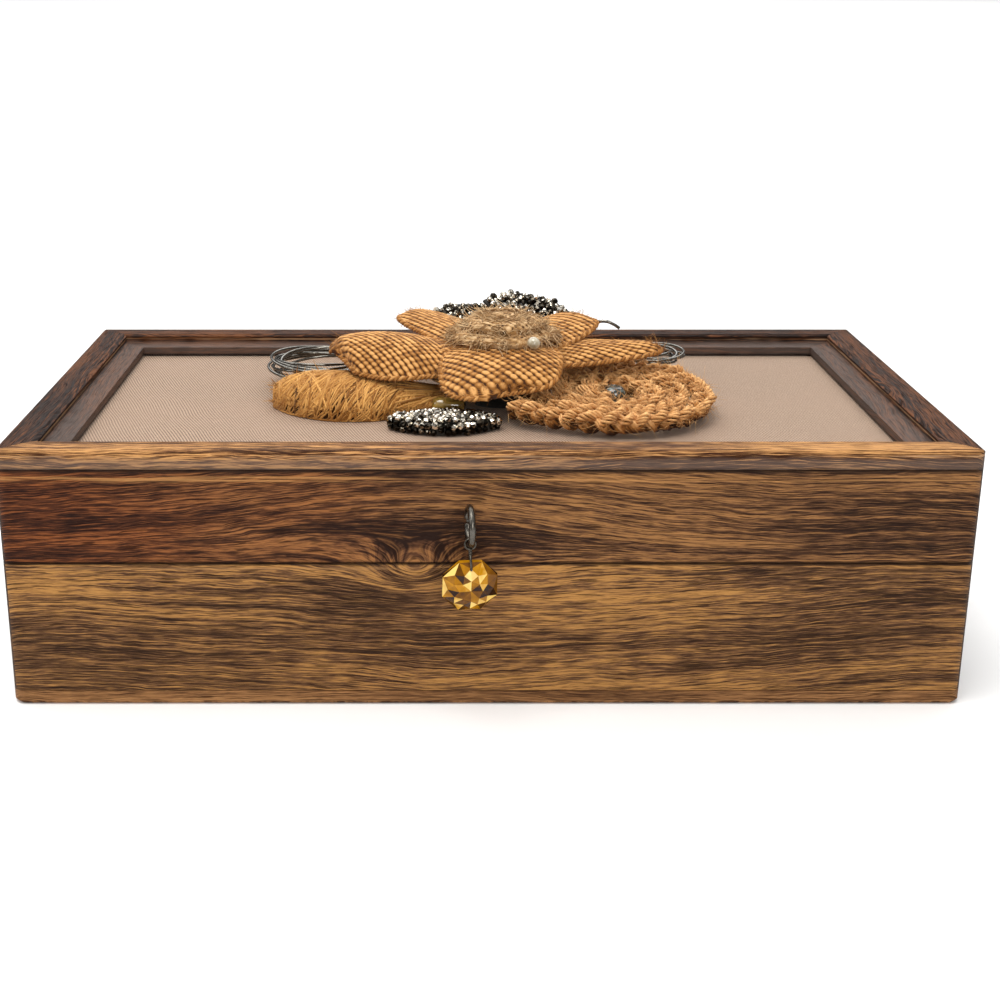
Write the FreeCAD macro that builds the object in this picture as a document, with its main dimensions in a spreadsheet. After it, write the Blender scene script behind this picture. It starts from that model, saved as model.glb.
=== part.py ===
"""Wooden trinket box with a moulded top frame, a linen panel, a burlap flower and a crystal pull.

The box stands on its bottom board: the origin is the middle of the bottom face, +Z is up, the
front with the crystal faces -Y and +X is to the right. Lengths are millimetres, angles degrees.
"""
import FreeCAD, Part
import math
import os
import Sketcher
from FreeCAD import Placement, Rotation, Vector

# Driving sizes
SIZES = {
    # outer box
    "box_width": 254.0,
    "box_depth": 145.0,
    "base_height": 40.3,
    "lid_height": 25.4,
    "wall": 9.0,
    "bottom_thickness": 4.0,
    "corner_radius": 3.5,
    "edge_ease": 0.5,
    "bottom_bevel": 1.0,
    # moulded frame round the top
    "frame_width": 16.4,
    "frame_height": 5.2,
    "frame_face": 3.7,
    "shoulder_width": 1.5,
    "shoulder_radius": 1.8,
    "band_width": 8.4,
    "band_crown_radius": 60.0,
    "bevel_width": 1.1,
    "bevel_drop": 0.6,
    "step_drop": 1.8,
    "lip_height": 2.4,
    "cove_radius": 60.0,
    # panel under the frame
    "ledge_width": 4.5,
    "board_thickness": 3.0,
    "linen_thickness": 0.6,
    "linen_drop": 0.6,
    "fabric_gap": 0.3,
    # stopped hinges
    "hinge_offset": 75.0,
    "hinge_inset": 2.2,
    "lid_open": 100.0,
    "stop_margin": 1.0,
    "barrel_radius": 2.0,
    "barrel_clearance": 0.15,
    "middle_knuckle": 10.0,
    "knuckle_gap": 0.15,
    "pin_radius": 0.8,
    "pin_clearance": 0.05,
    "leaf_thickness": 0.95,
    "leaf_gap": 0.05,
    "leaf_width": 6.2,
    "seat_clearance": 0.1,
    "screw_line": 4.2,
    "screw_spacing": 18.0,
    "screw_margin": 4.0,
    "screw_head_radius": 1.4,
    "screw_shank_radius": 0.8,
    "screw_length": 6.0,
    "screw_clearance": 0.05,
    # screw eye
    "eye_offset": -5.0,
    "eye_height": 13.0,
    "eye_radius": 5.6,
    "eye_wire_radius": 0.9,
    "eye_standoff": 2.0,
    "eye_turn": 6.0,
    "eye_thread": 7.0,
    # twisted wire link
    "link_wire_radius": 0.3,
    "link_clearance": 0.15,
    "link_length": 10.5,
    "loop_half_width": 2.9,
    "loop_height": 3.5,
    "loop_bend": 0.7,
    # crystal
    "crystal_width": 14.1,
    "crystal_thickness": 7.0,
    "crystal_girdle": 1.2,
    "crystal_table": 6.0,
    "crystal_hole_inset": 1.5,
    "crystal_hole_radius": 0.5,
    "crystal_lean": 10.0,
    # flower and its pad
    "flower_offset": 6.0,
    "flower_setback": -1.0,
    "hub_radius": 8.0,
    "hub_height": 11.4,
    "petal_length": 44.0,
    "petal_width": 33.0,
    "petal_thickness": 1.6,
    "petal_root": 5.0,
    "petal_height": 13.4,
    "petal_tier": 2.0,
    "petal_rise": 7.0,
    "petal_crown": 6.5,
    "petal_roll": 20.0,
    "centre_radius": 16.0,
    "centre_base": 19.6,
    "centre_layer": 3.0,
    "centre_stem_radius": 3.2,
    "pearl_radius": 2.0,
    "pearl_turn": 297.0,
    # jute leaf pad
    "pad_offset": 20.5,
    "pad_setback": 9.5,
    "pad_length": 47.0,
    "pad_width": 30.0,
    "pad_side": 4.6,
    "pad_crown": 4.8,
    "pad_belly": 0.3,
    "pad_turn": 180.0,
    # spiral jute rosette
    "rosette_offset": 38.0,
    "rosette_setback": -12.0,
    "braid_width": 6.4,
    "braid_height": 8.0,
    "braid_gap": 0.6,
    "braid_first_radius": 7.6,
    "braid_half_turns": 6,
    "braid_end_turn": -104.0,
    "braid_tail": 25.0,
    "rosette_bead_radius": 3.6,
    "rosette_bead_height": 5.4,
    # silver wire sprays
    "spray_wire_radius": 0.5,
    "spray_pitch": 3.2,
    "left_spray_radius": 6.0,
    "left_spray_half_turns": 7,
    "left_spray_reach": 58.0,
    "left_spray_turn": 161.0,
    "left_spray_height": 7.0,
    "right_spray_radius": 5.0,
    "right_spray_half_turns": 5,
    "right_spray_reach": 58.0,
    "right_spray_turn": 31.0,
    "right_spray_height": 9.4,
    "tail_turn": 12.0,
    # beaded leaves
    "bead_leaf_length": 31.0,
    "bead_leaf_width": 14.0,
    "bead_leaf_backing": 0.8,
    "front_leaf_backing": 2.4,
    "bead_radius": 1.4,
    "bead_pitch": 2.9,
    "bead_seat": 0.05,
    "back_leaf_tilt": 34.0,
    "back_leaf_lean": 12.0,
    "stem_radius": 0.5,
    # amber bead
    "amber_length": 9.6,
    "amber_radius": 2.6,
    # shared
    "overrun": 2.0,
}

document = FreeCAD.newDocument("trinket_box")
sheet = document.addObject("Spreadsheet::Sheet", "sizes")
for row, (alias, number) in enumerate(SIZES.items(), start=1):
    sheet.set("A%d" % row, alias)
    sheet.set("B%d" % row, str(number))
    sheet.setAlias("B%d" % row, alias)
document.recompute()


class Size:
    """A length that knows its number and the sheet formula that gives it."""

    def __init__(self, number, formula):
        self.number = number
        self.formula = formula

    def __float__(self):
        return self.number

    def __add__(self, other):
        other = as_size(other)
        return Size(self.number + other.number, "(%s + %s)" % (self.formula, other.formula))

    def __sub__(self, other):
        other = as_size(other)
        return Size(self.number - other.number, "(%s - %s)" % (self.formula, other.formula))

    def __mul__(self, other):
        other = as_size(other)
        return Size(self.number * other.number, "(%s * %s)" % (self.formula, other.formula))

    def __truediv__(self, other):
        other = as_size(other)
        return Size(self.number / other.number, "(%s / %s)" % (self.formula, other.formula))

    def __neg__(self):
        return Size(-self.number, "(-1 * %s)" % self.formula)

    __radd__ = __add__
    __rmul__ = __mul__


def as_size(value):
    return value if isinstance(value, Size) else Size(float(value), repr(float(value)))


def tangent(angle):
    """The tangent of an angle that is a Size in degrees."""
    return Size(math.tan(math.radians(angle.number)), "tan(%s * 1 deg)" % angle.formula)


class Names:
    """The sheet's cells as attributes."""


s = Names()
for alias in SIZES:
    setattr(s, alias, Size(float(sheet.get(alias)), "sizes." + alias))

ZERO = as_size(0)

# Levels and lines that several pieces share
half_width = s.box_width / 2
half_depth = s.box_depth / 2
parting = s.base_height
frame_underside = parting + s.lid_height
linen_top = frame_underside - s.linen_drop
hinge_line = half_depth - s.hinge_inset
mortise_depth = s.leaf_gap + s.leaf_thickness
hinge_length = s.screw_spacing + s.screw_margin * 2

nodes = {}


def bind(item, **formulas):
    for prop, size in formulas.items():
        item.setExpression(prop, as_size(size).formula)


def place(item, x=ZERO, y=ZERO, z=ZERO):
    for axis, size in zip("xyz", (x, y, z)):
        item.setExpression("Placement.Base." + axis, as_size(size).formula)
    return item


def point(x, y, z):
    return Vector(float(x), float(y), float(z))


def keep(node, item):
    """Name the finished sub-part and list it for the export."""
    item.Label = node
    nodes[node] = item
    return item


# Helpers for solids
def block(name, length, width, height, x, y, z):
    item = document.addObject("Part::Box", name)
    bind(item, Length=length, Width=width, Height=height)
    return place(item, x, y, z)


AXIS_TURNS = {
    "X": Rotation(Vector(0, 1, 0), 90),
    "Y": Rotation(Vector(1, 0, 0), -90),
    "Z": Rotation(),
}


def rod(name, axis, radius, length, x, y, z):
    item = document.addObject("Part::Cylinder", name)
    item.Placement = Placement(Vector(), AXIS_TURNS[axis])
    bind(item, Radius=radius, Height=length)
    return place(item, x, y, z)


def cone(name, low_radius, high_radius, height, x, y, z):
    item = document.addObject("Part::Cone", name)
    bind(item, Radius1=low_radius, Radius2=high_radius, Height=height)
    return place(item, x, y, z)


def cut(name, base, tool):
    item = document.addObject("Part::Cut", name)
    item.Base, item.Tool = base, tool
    return item


def common(name, base, tool):
    item = document.addObject("Part::Common", name)
    item.Base, item.Tool = base, tool
    return item


def fuse(name, pieces):
    item = document.addObject("Part::MultiFuse", name)
    item.Shapes = pieces
    return item


def solid(name, shape):
    item = document.addObject("Part::Feature", name)
    item.Shape = shape
    return item


# Helpers for faceted solids
UP = Vector(0, 0, 1)
RIGHT = Vector(1, 0, 0)
FRONT = Vector(0, -1, 0)
# Side counts of faceted rounds, then how flat a face has to be
HEXAGON_COUNT = 6
OCTAGON_COUNT = 8
SCREW_COUNT = 12
FLATNESS = 1e-8


def flat_faces(corners):
    """One flat face through the corners, or two triangles where they don't lie in a plane."""
    corners = [corner for index, corner in enumerate(corners) if corner != corners[index - 1]]
    if len(corners) < 3:
        return []
    first, second, third = corners[:3]
    normal = (second - first).cross(third - first).normalize()
    if all(abs((corner - first).dot(normal)) < FLATNESS for corner in corners):
        return [Part.Face(Part.makePolygon(corners + corners[:1]))]
    halves = (corners[:3], [corners[2], corners[3], corners[0]])
    return [Part.Face(Part.makePolygon(half + half[:1])) for half in halves]


def skin(rings, closed=False):
    """A solid of flat facets through rings of points; closed joins the last ring to the first."""
    pairs = list(zip(rings, rings[1:]))
    if closed:
        pairs.append((rings[-1], rings[0]))
    faces = []
    for low, high in pairs:
        for index in range(len(low)):
            after = (index + 1) % len(low)
            faces += flat_faces([low[index], low[after], high[after], high[index]])
    if not closed:
        faces += [Part.Face(Part.makePolygon(ring + ring[:1])) for ring in (rings[0], rings[-1])]
    shell = Part.makeShell(faces)
    shell.sewShape()
    body = Part.makeSolid(shell)
    if body.Volume < 0:
        body.reverse()
    return body


def polygon(centre, across, up, radius, sides, stretch=1):
    """Corners of a regular outline with a flat on top, stretched along up."""
    angles = [2 * math.pi * (index + 1 / 2) / sides for index in range(sides)]
    return [centre + across * (radius * math.sin(a)) + up * (radius * stretch * math.cos(a))
            for a in angles]


# Helpers for sketches
def new_body(name):
    return document.addObject("PartDesign::Body", name)


def new_sketch(body, plane, name):
    sketch = body.newObject("Sketcher::SketchObject", name)
    support = [part for part in body.Origin.OriginFeatures if part.Role == plane][0]
    sketch.AttachmentSupport = (support, [""])
    sketch.MapMode = "FlatFace"
    return sketch


def arc_between(start, end, radius, left):
    """Arc from start to end; left says that its centre lies left of the way."""
    chord = end - start
    middle = (start + end) / 2
    side = Vector(-chord.y, chord.x, 0).normalize()
    height = math.sqrt(max(radius ** 2 - chord.Length ** 2 / 4, 0))
    centre = middle + side * (height if left else -height)
    first, last = (start, end) if left else (end, start)
    angles = [math.atan2(p.y - centre.y, p.x - centre.x) for p in (first, last)]
    circle = Part.Circle(centre, Vector(0, 0, 1), radius)
    return Part.ArcOfCircle(circle, angles[0], angles[1])


def set_datum(sketch, kind, places, size):
    index = sketch.addConstraint(Sketcher.Constraint(kind, *places, float(size)))
    sketch.setExpression("Constraints[%d]" % index, size.formula)


def outline(sketch, corners, arcs=None):
    """Close an outline through corners; arcs maps a corner's index to (radius, left)."""
    arcs = arcs or {}
    first = sketch.GeometryCount
    count = len(corners)
    ends = []
    for index, corner in enumerate(corners):
        start = point(*corner, ZERO)
        end = point(*corners[(index + 1) % count], ZERO)
        radius, left = arcs.get(index, (None, True))
        if index in arcs:
            sketch.addGeometry(arc_between(start, end, float(radius), left), False)
        else:
            sketch.addGeometry(Part.LineSegment(start, end), False)
        ends.append((1, 2) if left else (2, 1))
    for index in range(count):
        after = (index + 1) % count
        sketch.addConstraint(Sketcher.Constraint(
            "Coincident", first + index, ends[index][1], first + after, ends[after][0]))
    for index, corner in enumerate(corners):
        for kind, size in zip(("DistanceX", "DistanceY"), corner):
            set_datum(sketch, kind, (-1, 1, first + index, ends[index][0]), as_size(size))
        if index in arcs:
            set_datum(sketch, "Radius", (first + index,), as_size(arcs[index][0]))
    return sketch


def round_outline(sketch, radius, x=ZERO, y=ZERO):
    circle = sketch.addGeometry(Part.Circle(point(x, y, ZERO), Vector(0, 0, 1), float(radius)))
    set_datum(sketch, "Radius", (circle,), radius)
    set_datum(sketch, "DistanceX", (-1, 1, circle, 3), as_size(x))
    set_datum(sketch, "DistanceY", (-1, 1, circle, 3), as_size(y))
    return sketch


def pad(body, sketch, length, both_ways=False):
    feature = body.newObject("PartDesign::Pad", body.Name + "_pad")
    feature.Profile = sketch
    bind(feature, Length=length)
    feature.SideType = "Symmetric" if both_ways else "One side"
    return feature


def pocket(body, sketch):
    """Cut the sketch right through the body, both ways."""
    feature = body.newObject("PartDesign::Pocket", body.Name + "_pocket")
    feature.Profile = sketch
    feature.Type = "ThroughAll"
    feature.SideType = "Symmetric"
    return feature


# Mitred boards: a profile (distance inwards from the outer face, height) run along one side
SIDES = {"front": ("Y", -1), "back": ("Y", 1), "left": ("X", -1), "right": ("X", 1)}


def mitred_board(name, side, profile, arcs=None):
    body = new_body(name)
    across, sign = SIDES[side]
    outer = half_depth if across == "Y" else half_width
    run = s.box_width if across == "Y" else s.box_depth
    plane = "YZ_Plane" if across == "Y" else "XZ_Plane"
    corners = [(sign * (outer - inward), height) for inward, height in profile]
    arcs = arcs or {}
    if sign > 0:
        arcs = {index: (radius, not left) for index, (radius, left) in arcs.items()}
    section = outline(new_sketch(body, plane, name + "_section"), corners, arcs)
    pad(body, section, run, both_ways=True)
    mitre = new_sketch(body, "XY_Plane", name + "_mitre")
    reach = s.frame_width + s.overrun
    for end in (-1, 1):
        if across == "Y":
            far = (end * (half_width + s.overrun), sign * (half_depth + s.overrun))
            near = (end * (half_width - reach), sign * (half_depth - reach))
            third = (far[0], near[1])
        else:
            far = (sign * (half_width + s.overrun), end * (half_depth + s.overrun))
            near = (sign * (half_width - reach), end * (half_depth - reach))
            third = (near[0], far[1])
        outline(mitre, [far, near, third])
    pocket(body, mitre)
    return body


def corner_block_body():
    """A block as large as the box with rounded uprights, which trims every outer board."""
    body = new_body("corner_block")
    corners = [(-half_width, -half_depth), (half_width, -half_depth),
               (half_width, half_depth), (-half_width, half_depth)]
    sketch = outline(new_sketch(body, "XY_Plane", "corner_block_plan"), corners)
    height = frame_underside + s.frame_height + s.overrun
    round_edges(body, pad(body, sketch, height), s.corner_radius, upright)
    return body


def round_edges(body, feature, radius, wanted):
    """Fillet the edges of a feature that the test accepts."""
    document.recompute()
    names = ["Edge%d" % (index + 1) for index, edge in enumerate(feature.Shape.Edges) if wanted(edge)]
    fillet = body.newObject("PartDesign::Fillet", feature.Name + "_fillet")
    fillet.Base = (feature, names)
    bind(fillet, Radius=radius)
    return fillet


def upright(edge):
    box = edge.BoundBox
    return box.ZLength > max(box.XLength, box.YLength)


def along_bottom(edge):
    return edge.BoundBox.ZMax < float(s.edge_ease) / 2


def bevel_edges(body, feature, size, wanted):
    """Bevel the edges of a feature that the test accepts."""
    document.recompute()
    names = ["Edge%d" % (index + 1) for index, edge in enumerate(feature.Shape.Edges) if wanted(edge)]
    bevel = body.newObject("PartDesign::Chamfer", feature.Name + "_bevel")
    bevel.Base = (feature, names)
    bind(bevel, Size=size)
    return bevel


corner_block = corner_block_body()


def rounded_board(name, side, profile, arcs=None):
    body = mitred_board(name + "_board", side, profile, arcs)
    return common(name + "_rounded", body, corner_block)


# Base
def bottom_board():
    body = new_body("bottom_board_body")
    corners = [(-half_width, -half_depth), (half_width, -half_depth),
               (half_width, half_depth), (-half_width, half_depth)]
    sketch = outline(new_sketch(body, "XY_Plane", "bottom_plan"), corners)
    uprights = round_edges(body, pad(body, sketch, s.bottom_thickness), s.corner_radius, upright)
    bevel_edges(body, uprights, s.bottom_bevel, along_bottom)
    keep("bottom_board", body)


def base_profile():
    """Section of a base board with eased edges."""
    low = s.bottom_thickness
    return [(ZERO, low + s.edge_ease / 2), (s.edge_ease / 2, low), (s.wall, low), (s.wall, parting),
            (s.edge_ease, parting), (ZERO, parting - s.edge_ease)]


def lid_profile():
    """Section of a lid rail with the ledge that carries the panel."""
    ledge = linen_top - s.linen_thickness - s.board_thickness
    small = s.edge_ease / 2
    return [(ZERO, parting + s.edge_ease), (s.edge_ease, parting), (s.wall, parting), (s.wall, ledge),
            (s.wall - s.ledge_width, ledge), (s.wall - s.ledge_width, frame_underside),
            (small, frame_underside), (ZERO, frame_underside - small)]


def stop_groove():
    """A wedge along the back, from the hinge line outwards, whose sides meet when the lid is open."""
    body = new_body("stop_groove")
    reach = s.hinge_inset + s.overrun
    depth = reach * tangent((s.lid_open + s.stop_margin) / 2)
    outside = hinge_line + reach
    corners = [(hinge_line, parting), (outside, parting + depth), (outside, parting - depth)]
    sketch = outline(new_sketch(body, "YZ_Plane", "stop_groove_section"), corners)
    pad(body, sketch, s.box_width + s.overrun * 2, both_ways=True)
    return body


def hinge_seats(groove):
    """Everything cut from the two back boards: the groove, the mortises, barrel and screw holes."""
    pieces = [groove]
    for sign, side in ((-1, "left"), (1, "right")):
        middle = sign * s.hinge_offset
        length = hinge_length + s.seat_clearance * 2
        start = middle - length / 2
        reach = s.leaf_width + s.seat_clearance
        pieces.append(block("mortise_" + side, length, reach, mortise_depth * 2,
                            start, hinge_line - reach, parting - mortise_depth))
        pieces.append(rod("barrel_groove_" + side, "X", s.barrel_radius + s.barrel_clearance, length,
                          start, hinge_line, parting))
        depth = mortise_depth + s.screw_length + s.screw_clearance
        for end in (-1, 1):
            pieces.append(rod("screw_hole_%s_%d" % (side, end), "Z",
                              s.screw_shank_radius + s.screw_clearance, depth * 2,
                              middle + end * s.screw_spacing / 2, hinge_line - s.screw_line,
                              parting - depth))
    return fuse("hinge_seats", pieces)


def base_boards(tools):
    for side in SIDES:
        board = rounded_board("base_%s_panel" % side, side, base_profile())
        if side in tools:
            board = cut("base_%s_cut" % side, board, tools[side])
        keep("base_%s_panel" % side, board)


# Hinges
def hinge_leaf(name, middle, upper):
    """One leaf: the base leaf has the two outer knuckles, the lid leaf the middle one."""
    low = parting + s.leaf_gap if upper else parting - mortise_depth
    start = middle - hinge_length / 2
    plate = block(name + "_plate", hinge_length, s.leaf_width, s.leaf_thickness,
                  start, hinge_line - s.leaf_width, low)
    barrel = rod(name + "_barrel", "X", s.barrel_radius, hinge_length, start, hinge_line, parting)
    bore = rod(name + "_bore", "X", s.pin_radius + s.pin_clearance,
               hinge_length + s.overrun * 2, start - s.overrun, hinge_line, parting)
    room = s.barrel_radius + s.barrel_clearance
    holes = [bore]
    if upper:
        outer = (hinge_length - s.middle_knuckle) / 2 + s.knuckle_gap
        holes.append(rod(name + "_room_a", "X", room, outer + s.overrun,
                         start - s.overrun, hinge_line, parting))
        holes.append(rod(name + "_room_b", "X", room, outer + s.overrun,
                         middle + hinge_length / 2 - outer, hinge_line, parting))
    else:
        length = s.middle_knuckle + s.knuckle_gap * 2
        holes.append(rod(name + "_room", "X", room, length, middle - length / 2, hinge_line, parting))
    small = s.screw_shank_radius + s.screw_clearance
    large = s.screw_head_radius + s.screw_clearance
    for end in (-1, 1):
        holes.append(cone("%s_sink_%d" % (name, end), large if upper else small,
                          small if upper else large, s.leaf_thickness,
                          middle + end * s.screw_spacing / 2, hinge_line - s.screw_line, low))
    keep(name, cut(name, fuse(name + "_blank", [plate, barrel]), fuse(name + "_holes", holes)))


def hinge_screws(name, upper):
    screws = []
    low = parting + s.leaf_gap if upper else parting - mortise_depth
    for sign, side in ((-1, "left"), (1, "right")):
        for end in (-1, 1):
            x = sign * s.hinge_offset + end * s.screw_spacing / 2
            y = hinge_line - s.screw_line
            head, neck = (low, low + s.leaf_thickness) if upper else (low + s.leaf_thickness, low)
            tip = neck + s.screw_length if upper else neck - s.screw_length
            levels = ((head, s.screw_head_radius), (neck, s.screw_shank_radius), (tip, s.screw_shank_radius))
            screws.append(skin([polygon(point(x, y, level), RIGHT, FRONT, float(radius), SCREW_COUNT)
                                for level, radius in levels]))
    keep(name, solid(name, Part.Compound(screws)))


def hinges():
    for sign, side in ((-1, "left"), (1, "right")):
        middle = sign * s.hinge_offset
        hinge_leaf("hinge_%s_base_leaf" % side, middle, upper=False)
        hinge_leaf("hinge_%s_lid_leaf" % side, middle, upper=True)
        name = "hinge_%s_pin" % side
        keep(name, rod(name, "X", s.pin_radius, hinge_length,
                       middle - hinge_length / 2, hinge_line, parting))
    hinge_screws("hinge_base_screws", upper=False)
    hinge_screws("hinge_lid_screws", upper=True)


# Lid: rails, moulded frame and covered panel
def lid_rails(tools):
    for side in SIDES:
        rail = rounded_board("lid_%s_rail" % side, side, lid_profile())
        keep("lid_%s_rail" % side, cut("lid_%s_cut" % side, rail, tools[side]))


def frame_mouldings():
    """Shoulder, crowned band, bevel, step, hollow and lip, mitred at the corners."""
    low = frame_underside
    top = low + s.frame_height
    bevel_end = s.band_width + s.bevel_width
    step_top = top - s.bevel_drop
    small = s.edge_ease / 2
    profile = [(small, low), (s.frame_width, low), (s.frame_width, low + s.lip_height),
               (bevel_end, step_top - s.step_drop), (bevel_end, step_top), (s.band_width, top),
               (s.shoulder_width, top), (ZERO, low + s.frame_face), (ZERO, low + small)]
    arcs = {2: (s.cove_radius, False), 5: (s.band_crown_radius, True), 6: (s.shoulder_radius, True)}
    for side in SIDES:
        keep("frame_%s_moulding" % side, rounded_board("frame_%s_moulding" % side, side, profile, arcs))


def covered_panel():
    """A thin board wrapped in linen, dropped on the rails' ledge and held down by the frame."""
    margin = s.wall - s.ledge_width + s.fabric_gap + s.linen_thickness
    length = s.box_width - margin * 2
    width = s.box_depth - margin * 2
    low = linen_top - s.linen_thickness - s.board_thickness
    board = block("panel_board", length, width, s.board_thickness, -length / 2, -width / 2, low)
    keep("panel_board", board)
    cover_length = length + s.linen_thickness * 2
    cover_width = width + s.linen_thickness * 2
    cover = block("linen_blank", cover_length, cover_width, s.board_thickness + s.linen_thickness,
                  -cover_length / 2, -cover_width / 2, low)
    keep("linen_cover", cut("linen_cover", cover, board))


# Helpers for soft and wound forms
def turned(angle):
    """Unit vectors along and across a heading in the level plane."""
    along = Vector(math.cos(math.radians(angle)), math.sin(math.radians(angle)), 0)
    return along, UP.cross(along)


def crescent(centre, across, up, width, crown, hollow, edge, steps=8):
    """Points of a section with an arched top, short sides and a bottom that follows by hollow."""
    shares = [2 * step / steps - 1 for step in range(steps + 1)]
    top = [centre + across * (share * width / 2) + up * (crown * (1 - share ** 2)) for share in shares]
    low = [centre + across * (share * width / 2) + up * (hollow * (1 - share ** 2) - edge)
           for share in reversed(shares)]
    return top + low


def spiral(centre, first_radius, pitch, half_turns, end_angle, clockwise, steps=12):
    """Points of half-turn arcs about two alternating centres, opening by one pitch a turn."""
    hand = -1 if clockwise else 1
    angle = math.radians(end_angle) - hand * math.pi * half_turns
    points = []
    middle = centre
    for index in range(half_turns):
        radius = first_radius + pitch / 2 * index
        for step in range(steps):
            points.append(middle + Vector(math.cos(angle), math.sin(angle), 0) * radius)
            angle += hand * math.pi / steps
        middle -= Vector(math.cos(angle), math.sin(angle), 0) * (pitch / 2)
    end = middle + Vector(math.cos(angle), math.sin(angle), 0) * (radius + pitch / 2)
    heading = Vector(-math.sin(angle), math.cos(angle), 0) * hand
    return points + [end], heading


def bent_path(corners, bend, closed=False, steps=3):
    """Points of straight runs through corners, joined by tangent arcs of one radius."""
    count = len(corners)
    points = [] if closed else [corners[0]]
    for index in range(count) if closed else range(1, count - 1):
        before, corner, after = corners[index - 1], corners[index], corners[(index + 1) % count]
        inwards = (before - corner).normalize()
        outwards = (after - corner).normalize()
        half_angle = inwards.getAngle(outwards) / 2
        bisector = (inwards + outwards).normalize()
        middle = corner + bisector * (bend / math.sin(half_angle))
        start = corner + inwards * (bend / math.tan(half_angle)) - middle
        normal = inwards.cross(outwards)
        sweep = math.degrees(math.pi - 2 * half_angle)
        for step in range(steps + 1):
            turn = Rotation(normal, -sweep * step / steps)
            points.append(middle + turn.multVec(start))
    return points if closed else points + [corners[-1]]


def tube(points, normal, radius, sides, stretch=1, closed=False):
    """A tube of flat facets along points; normal is square to the run of the path."""
    rings = []
    count = len(points)
    for index, centre in enumerate(points):
        before = points[index - 1] if closed or index else centre
        after = points[(index + 1) % count] if closed or index < count - 1 else centre
        heading = (after - before).normalize()
        up = (normal - heading * heading.dot(normal)).normalize()
        rings.append(polygon(centre, heading.cross(up), up, radius, sides, stretch))
    return skin(rings, closed)


def least_gap(points, first_radius, section):
    """Least clear distance of a wound path to itself, between points over half a turn apart."""
    nearest = first_radius * 2
    for index, first in enumerate(points):
        run = 0
        for before, second in zip(points[index:], points[index + 1:]):
            run += (second - before).Length
            if run > math.pi * first_radius:
                nearest = min(nearest, (second - first).Length)
    return nearest - section


def faceted_bead(centre, axis, across, radius, length, sides, tiers_shares):
    """A bead of flat facets: rings at shares of its half length, with shares of its radius."""
    rings = [polygon(centre + axis * (length / 2 * place_share), across, axis.cross(across),
                     radius * radius_share, sides) for place_share, radius_share in tiers_shares]
    return skin(rings)


# Screw eye
eye_line = -(half_depth + s.eye_standoff + s.eye_radius)
eye_level = parting + s.eye_height
eye_ring_radius = s.eye_radius - s.eye_wire_radius
eye_centre = point(s.eye_offset, eye_line, eye_level)
eye_turn = Rotation(UP, float(s.eye_turn))


def ring_points(radius, across, up, count):
    """Points round a circle about the origin."""
    angles = [2 * math.pi * index / count for index in range(count)]
    return [across * (radius * math.cos(a)) + up * (radius * math.sin(a)) for a in angles]


def screw_eye():
    """A ring of round wire on a shank; the ring stands a little turned."""
    section = polygon(UP * float(eye_ring_radius), RIGHT, UP, float(s.eye_wire_radius), OCTAGON_COUNT)
    face = Part.Face(Part.makePolygon(section + section[:1]))
    ring = solid("eye_ring", face.revolve(Vector(), RIGHT, 360))
    ring.Placement = Placement(eye_centre, eye_turn)
    shank = rod("eye_shank", "Y", s.eye_wire_radius, s.eye_wire_radius + s.eye_standoff + s.eye_thread,
                s.eye_offset, eye_line + eye_ring_radius, eye_level)
    keep("screw_eye", fuse("screw_eye", [ring, shank]))
    return rod("eye_hole", "Y", s.eye_wire_radius + s.screw_clearance,
               s.eye_thread + s.screw_clearance + s.overrun, s.eye_offset,
               -half_depth - s.overrun, eye_level)


# Pendant: wire link and crystal
crystal_drop = float(s.crystal_width) / 2 - float(s.crystal_hole_inset)
link_lean = math.degrees(math.asin(
    crystal_drop * math.sin(math.radians(float(s.crystal_lean))) / float(s.link_length)))
link_turn = eye_turn.multiply(Rotation(RIGHT, -link_lean))
hole_place = eye_centre + link_turn.multVec(UP * -float(s.link_length))


def wire_link():
    """Top loop round the eye, stem and three-cornered lower loop, hanging from the eye's centre."""
    wire = float(s.link_wire_radius)
    loop_radius = float(s.eye_wire_radius + s.link_clearance + s.link_wire_radius)
    loop_middle = UP * -float(eye_ring_radius)
    path = [loop_middle + step for step in ring_points(loop_radius, RIGHT, UP, OCTAGON_COUNT * 2)]
    top_loop = tube(path, FRONT, wire, HEXAGON_COUNT, closed=True)
    hole = UP * -float(s.link_length)
    lean = Rotation(RIGHT, float(s.crystal_lean) + link_lean)
    side = lean.multVec(FRONT) * float(s.loop_half_width)
    top = hole + UP * float(s.loop_height)
    path = bent_path([top, hole + side, hole - side], float(s.loop_bend), closed=True)
    lower_loop = tube(path, RIGHT, wire, HEXAGON_COUNT, closed=True)
    stem_top = loop_middle - UP * loop_radius
    stem_foot = max(path, key=lambda corner: corner.z)
    stem = tube([stem_top, stem_foot], RIGHT, float(s.stem_radius), HEXAGON_COUNT)
    item = solid("wire_link", top_loop.fuse([stem, lower_loop]))
    item.Placement = Placement(eye_centre, link_turn)
    keep("wire_link", item)


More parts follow.
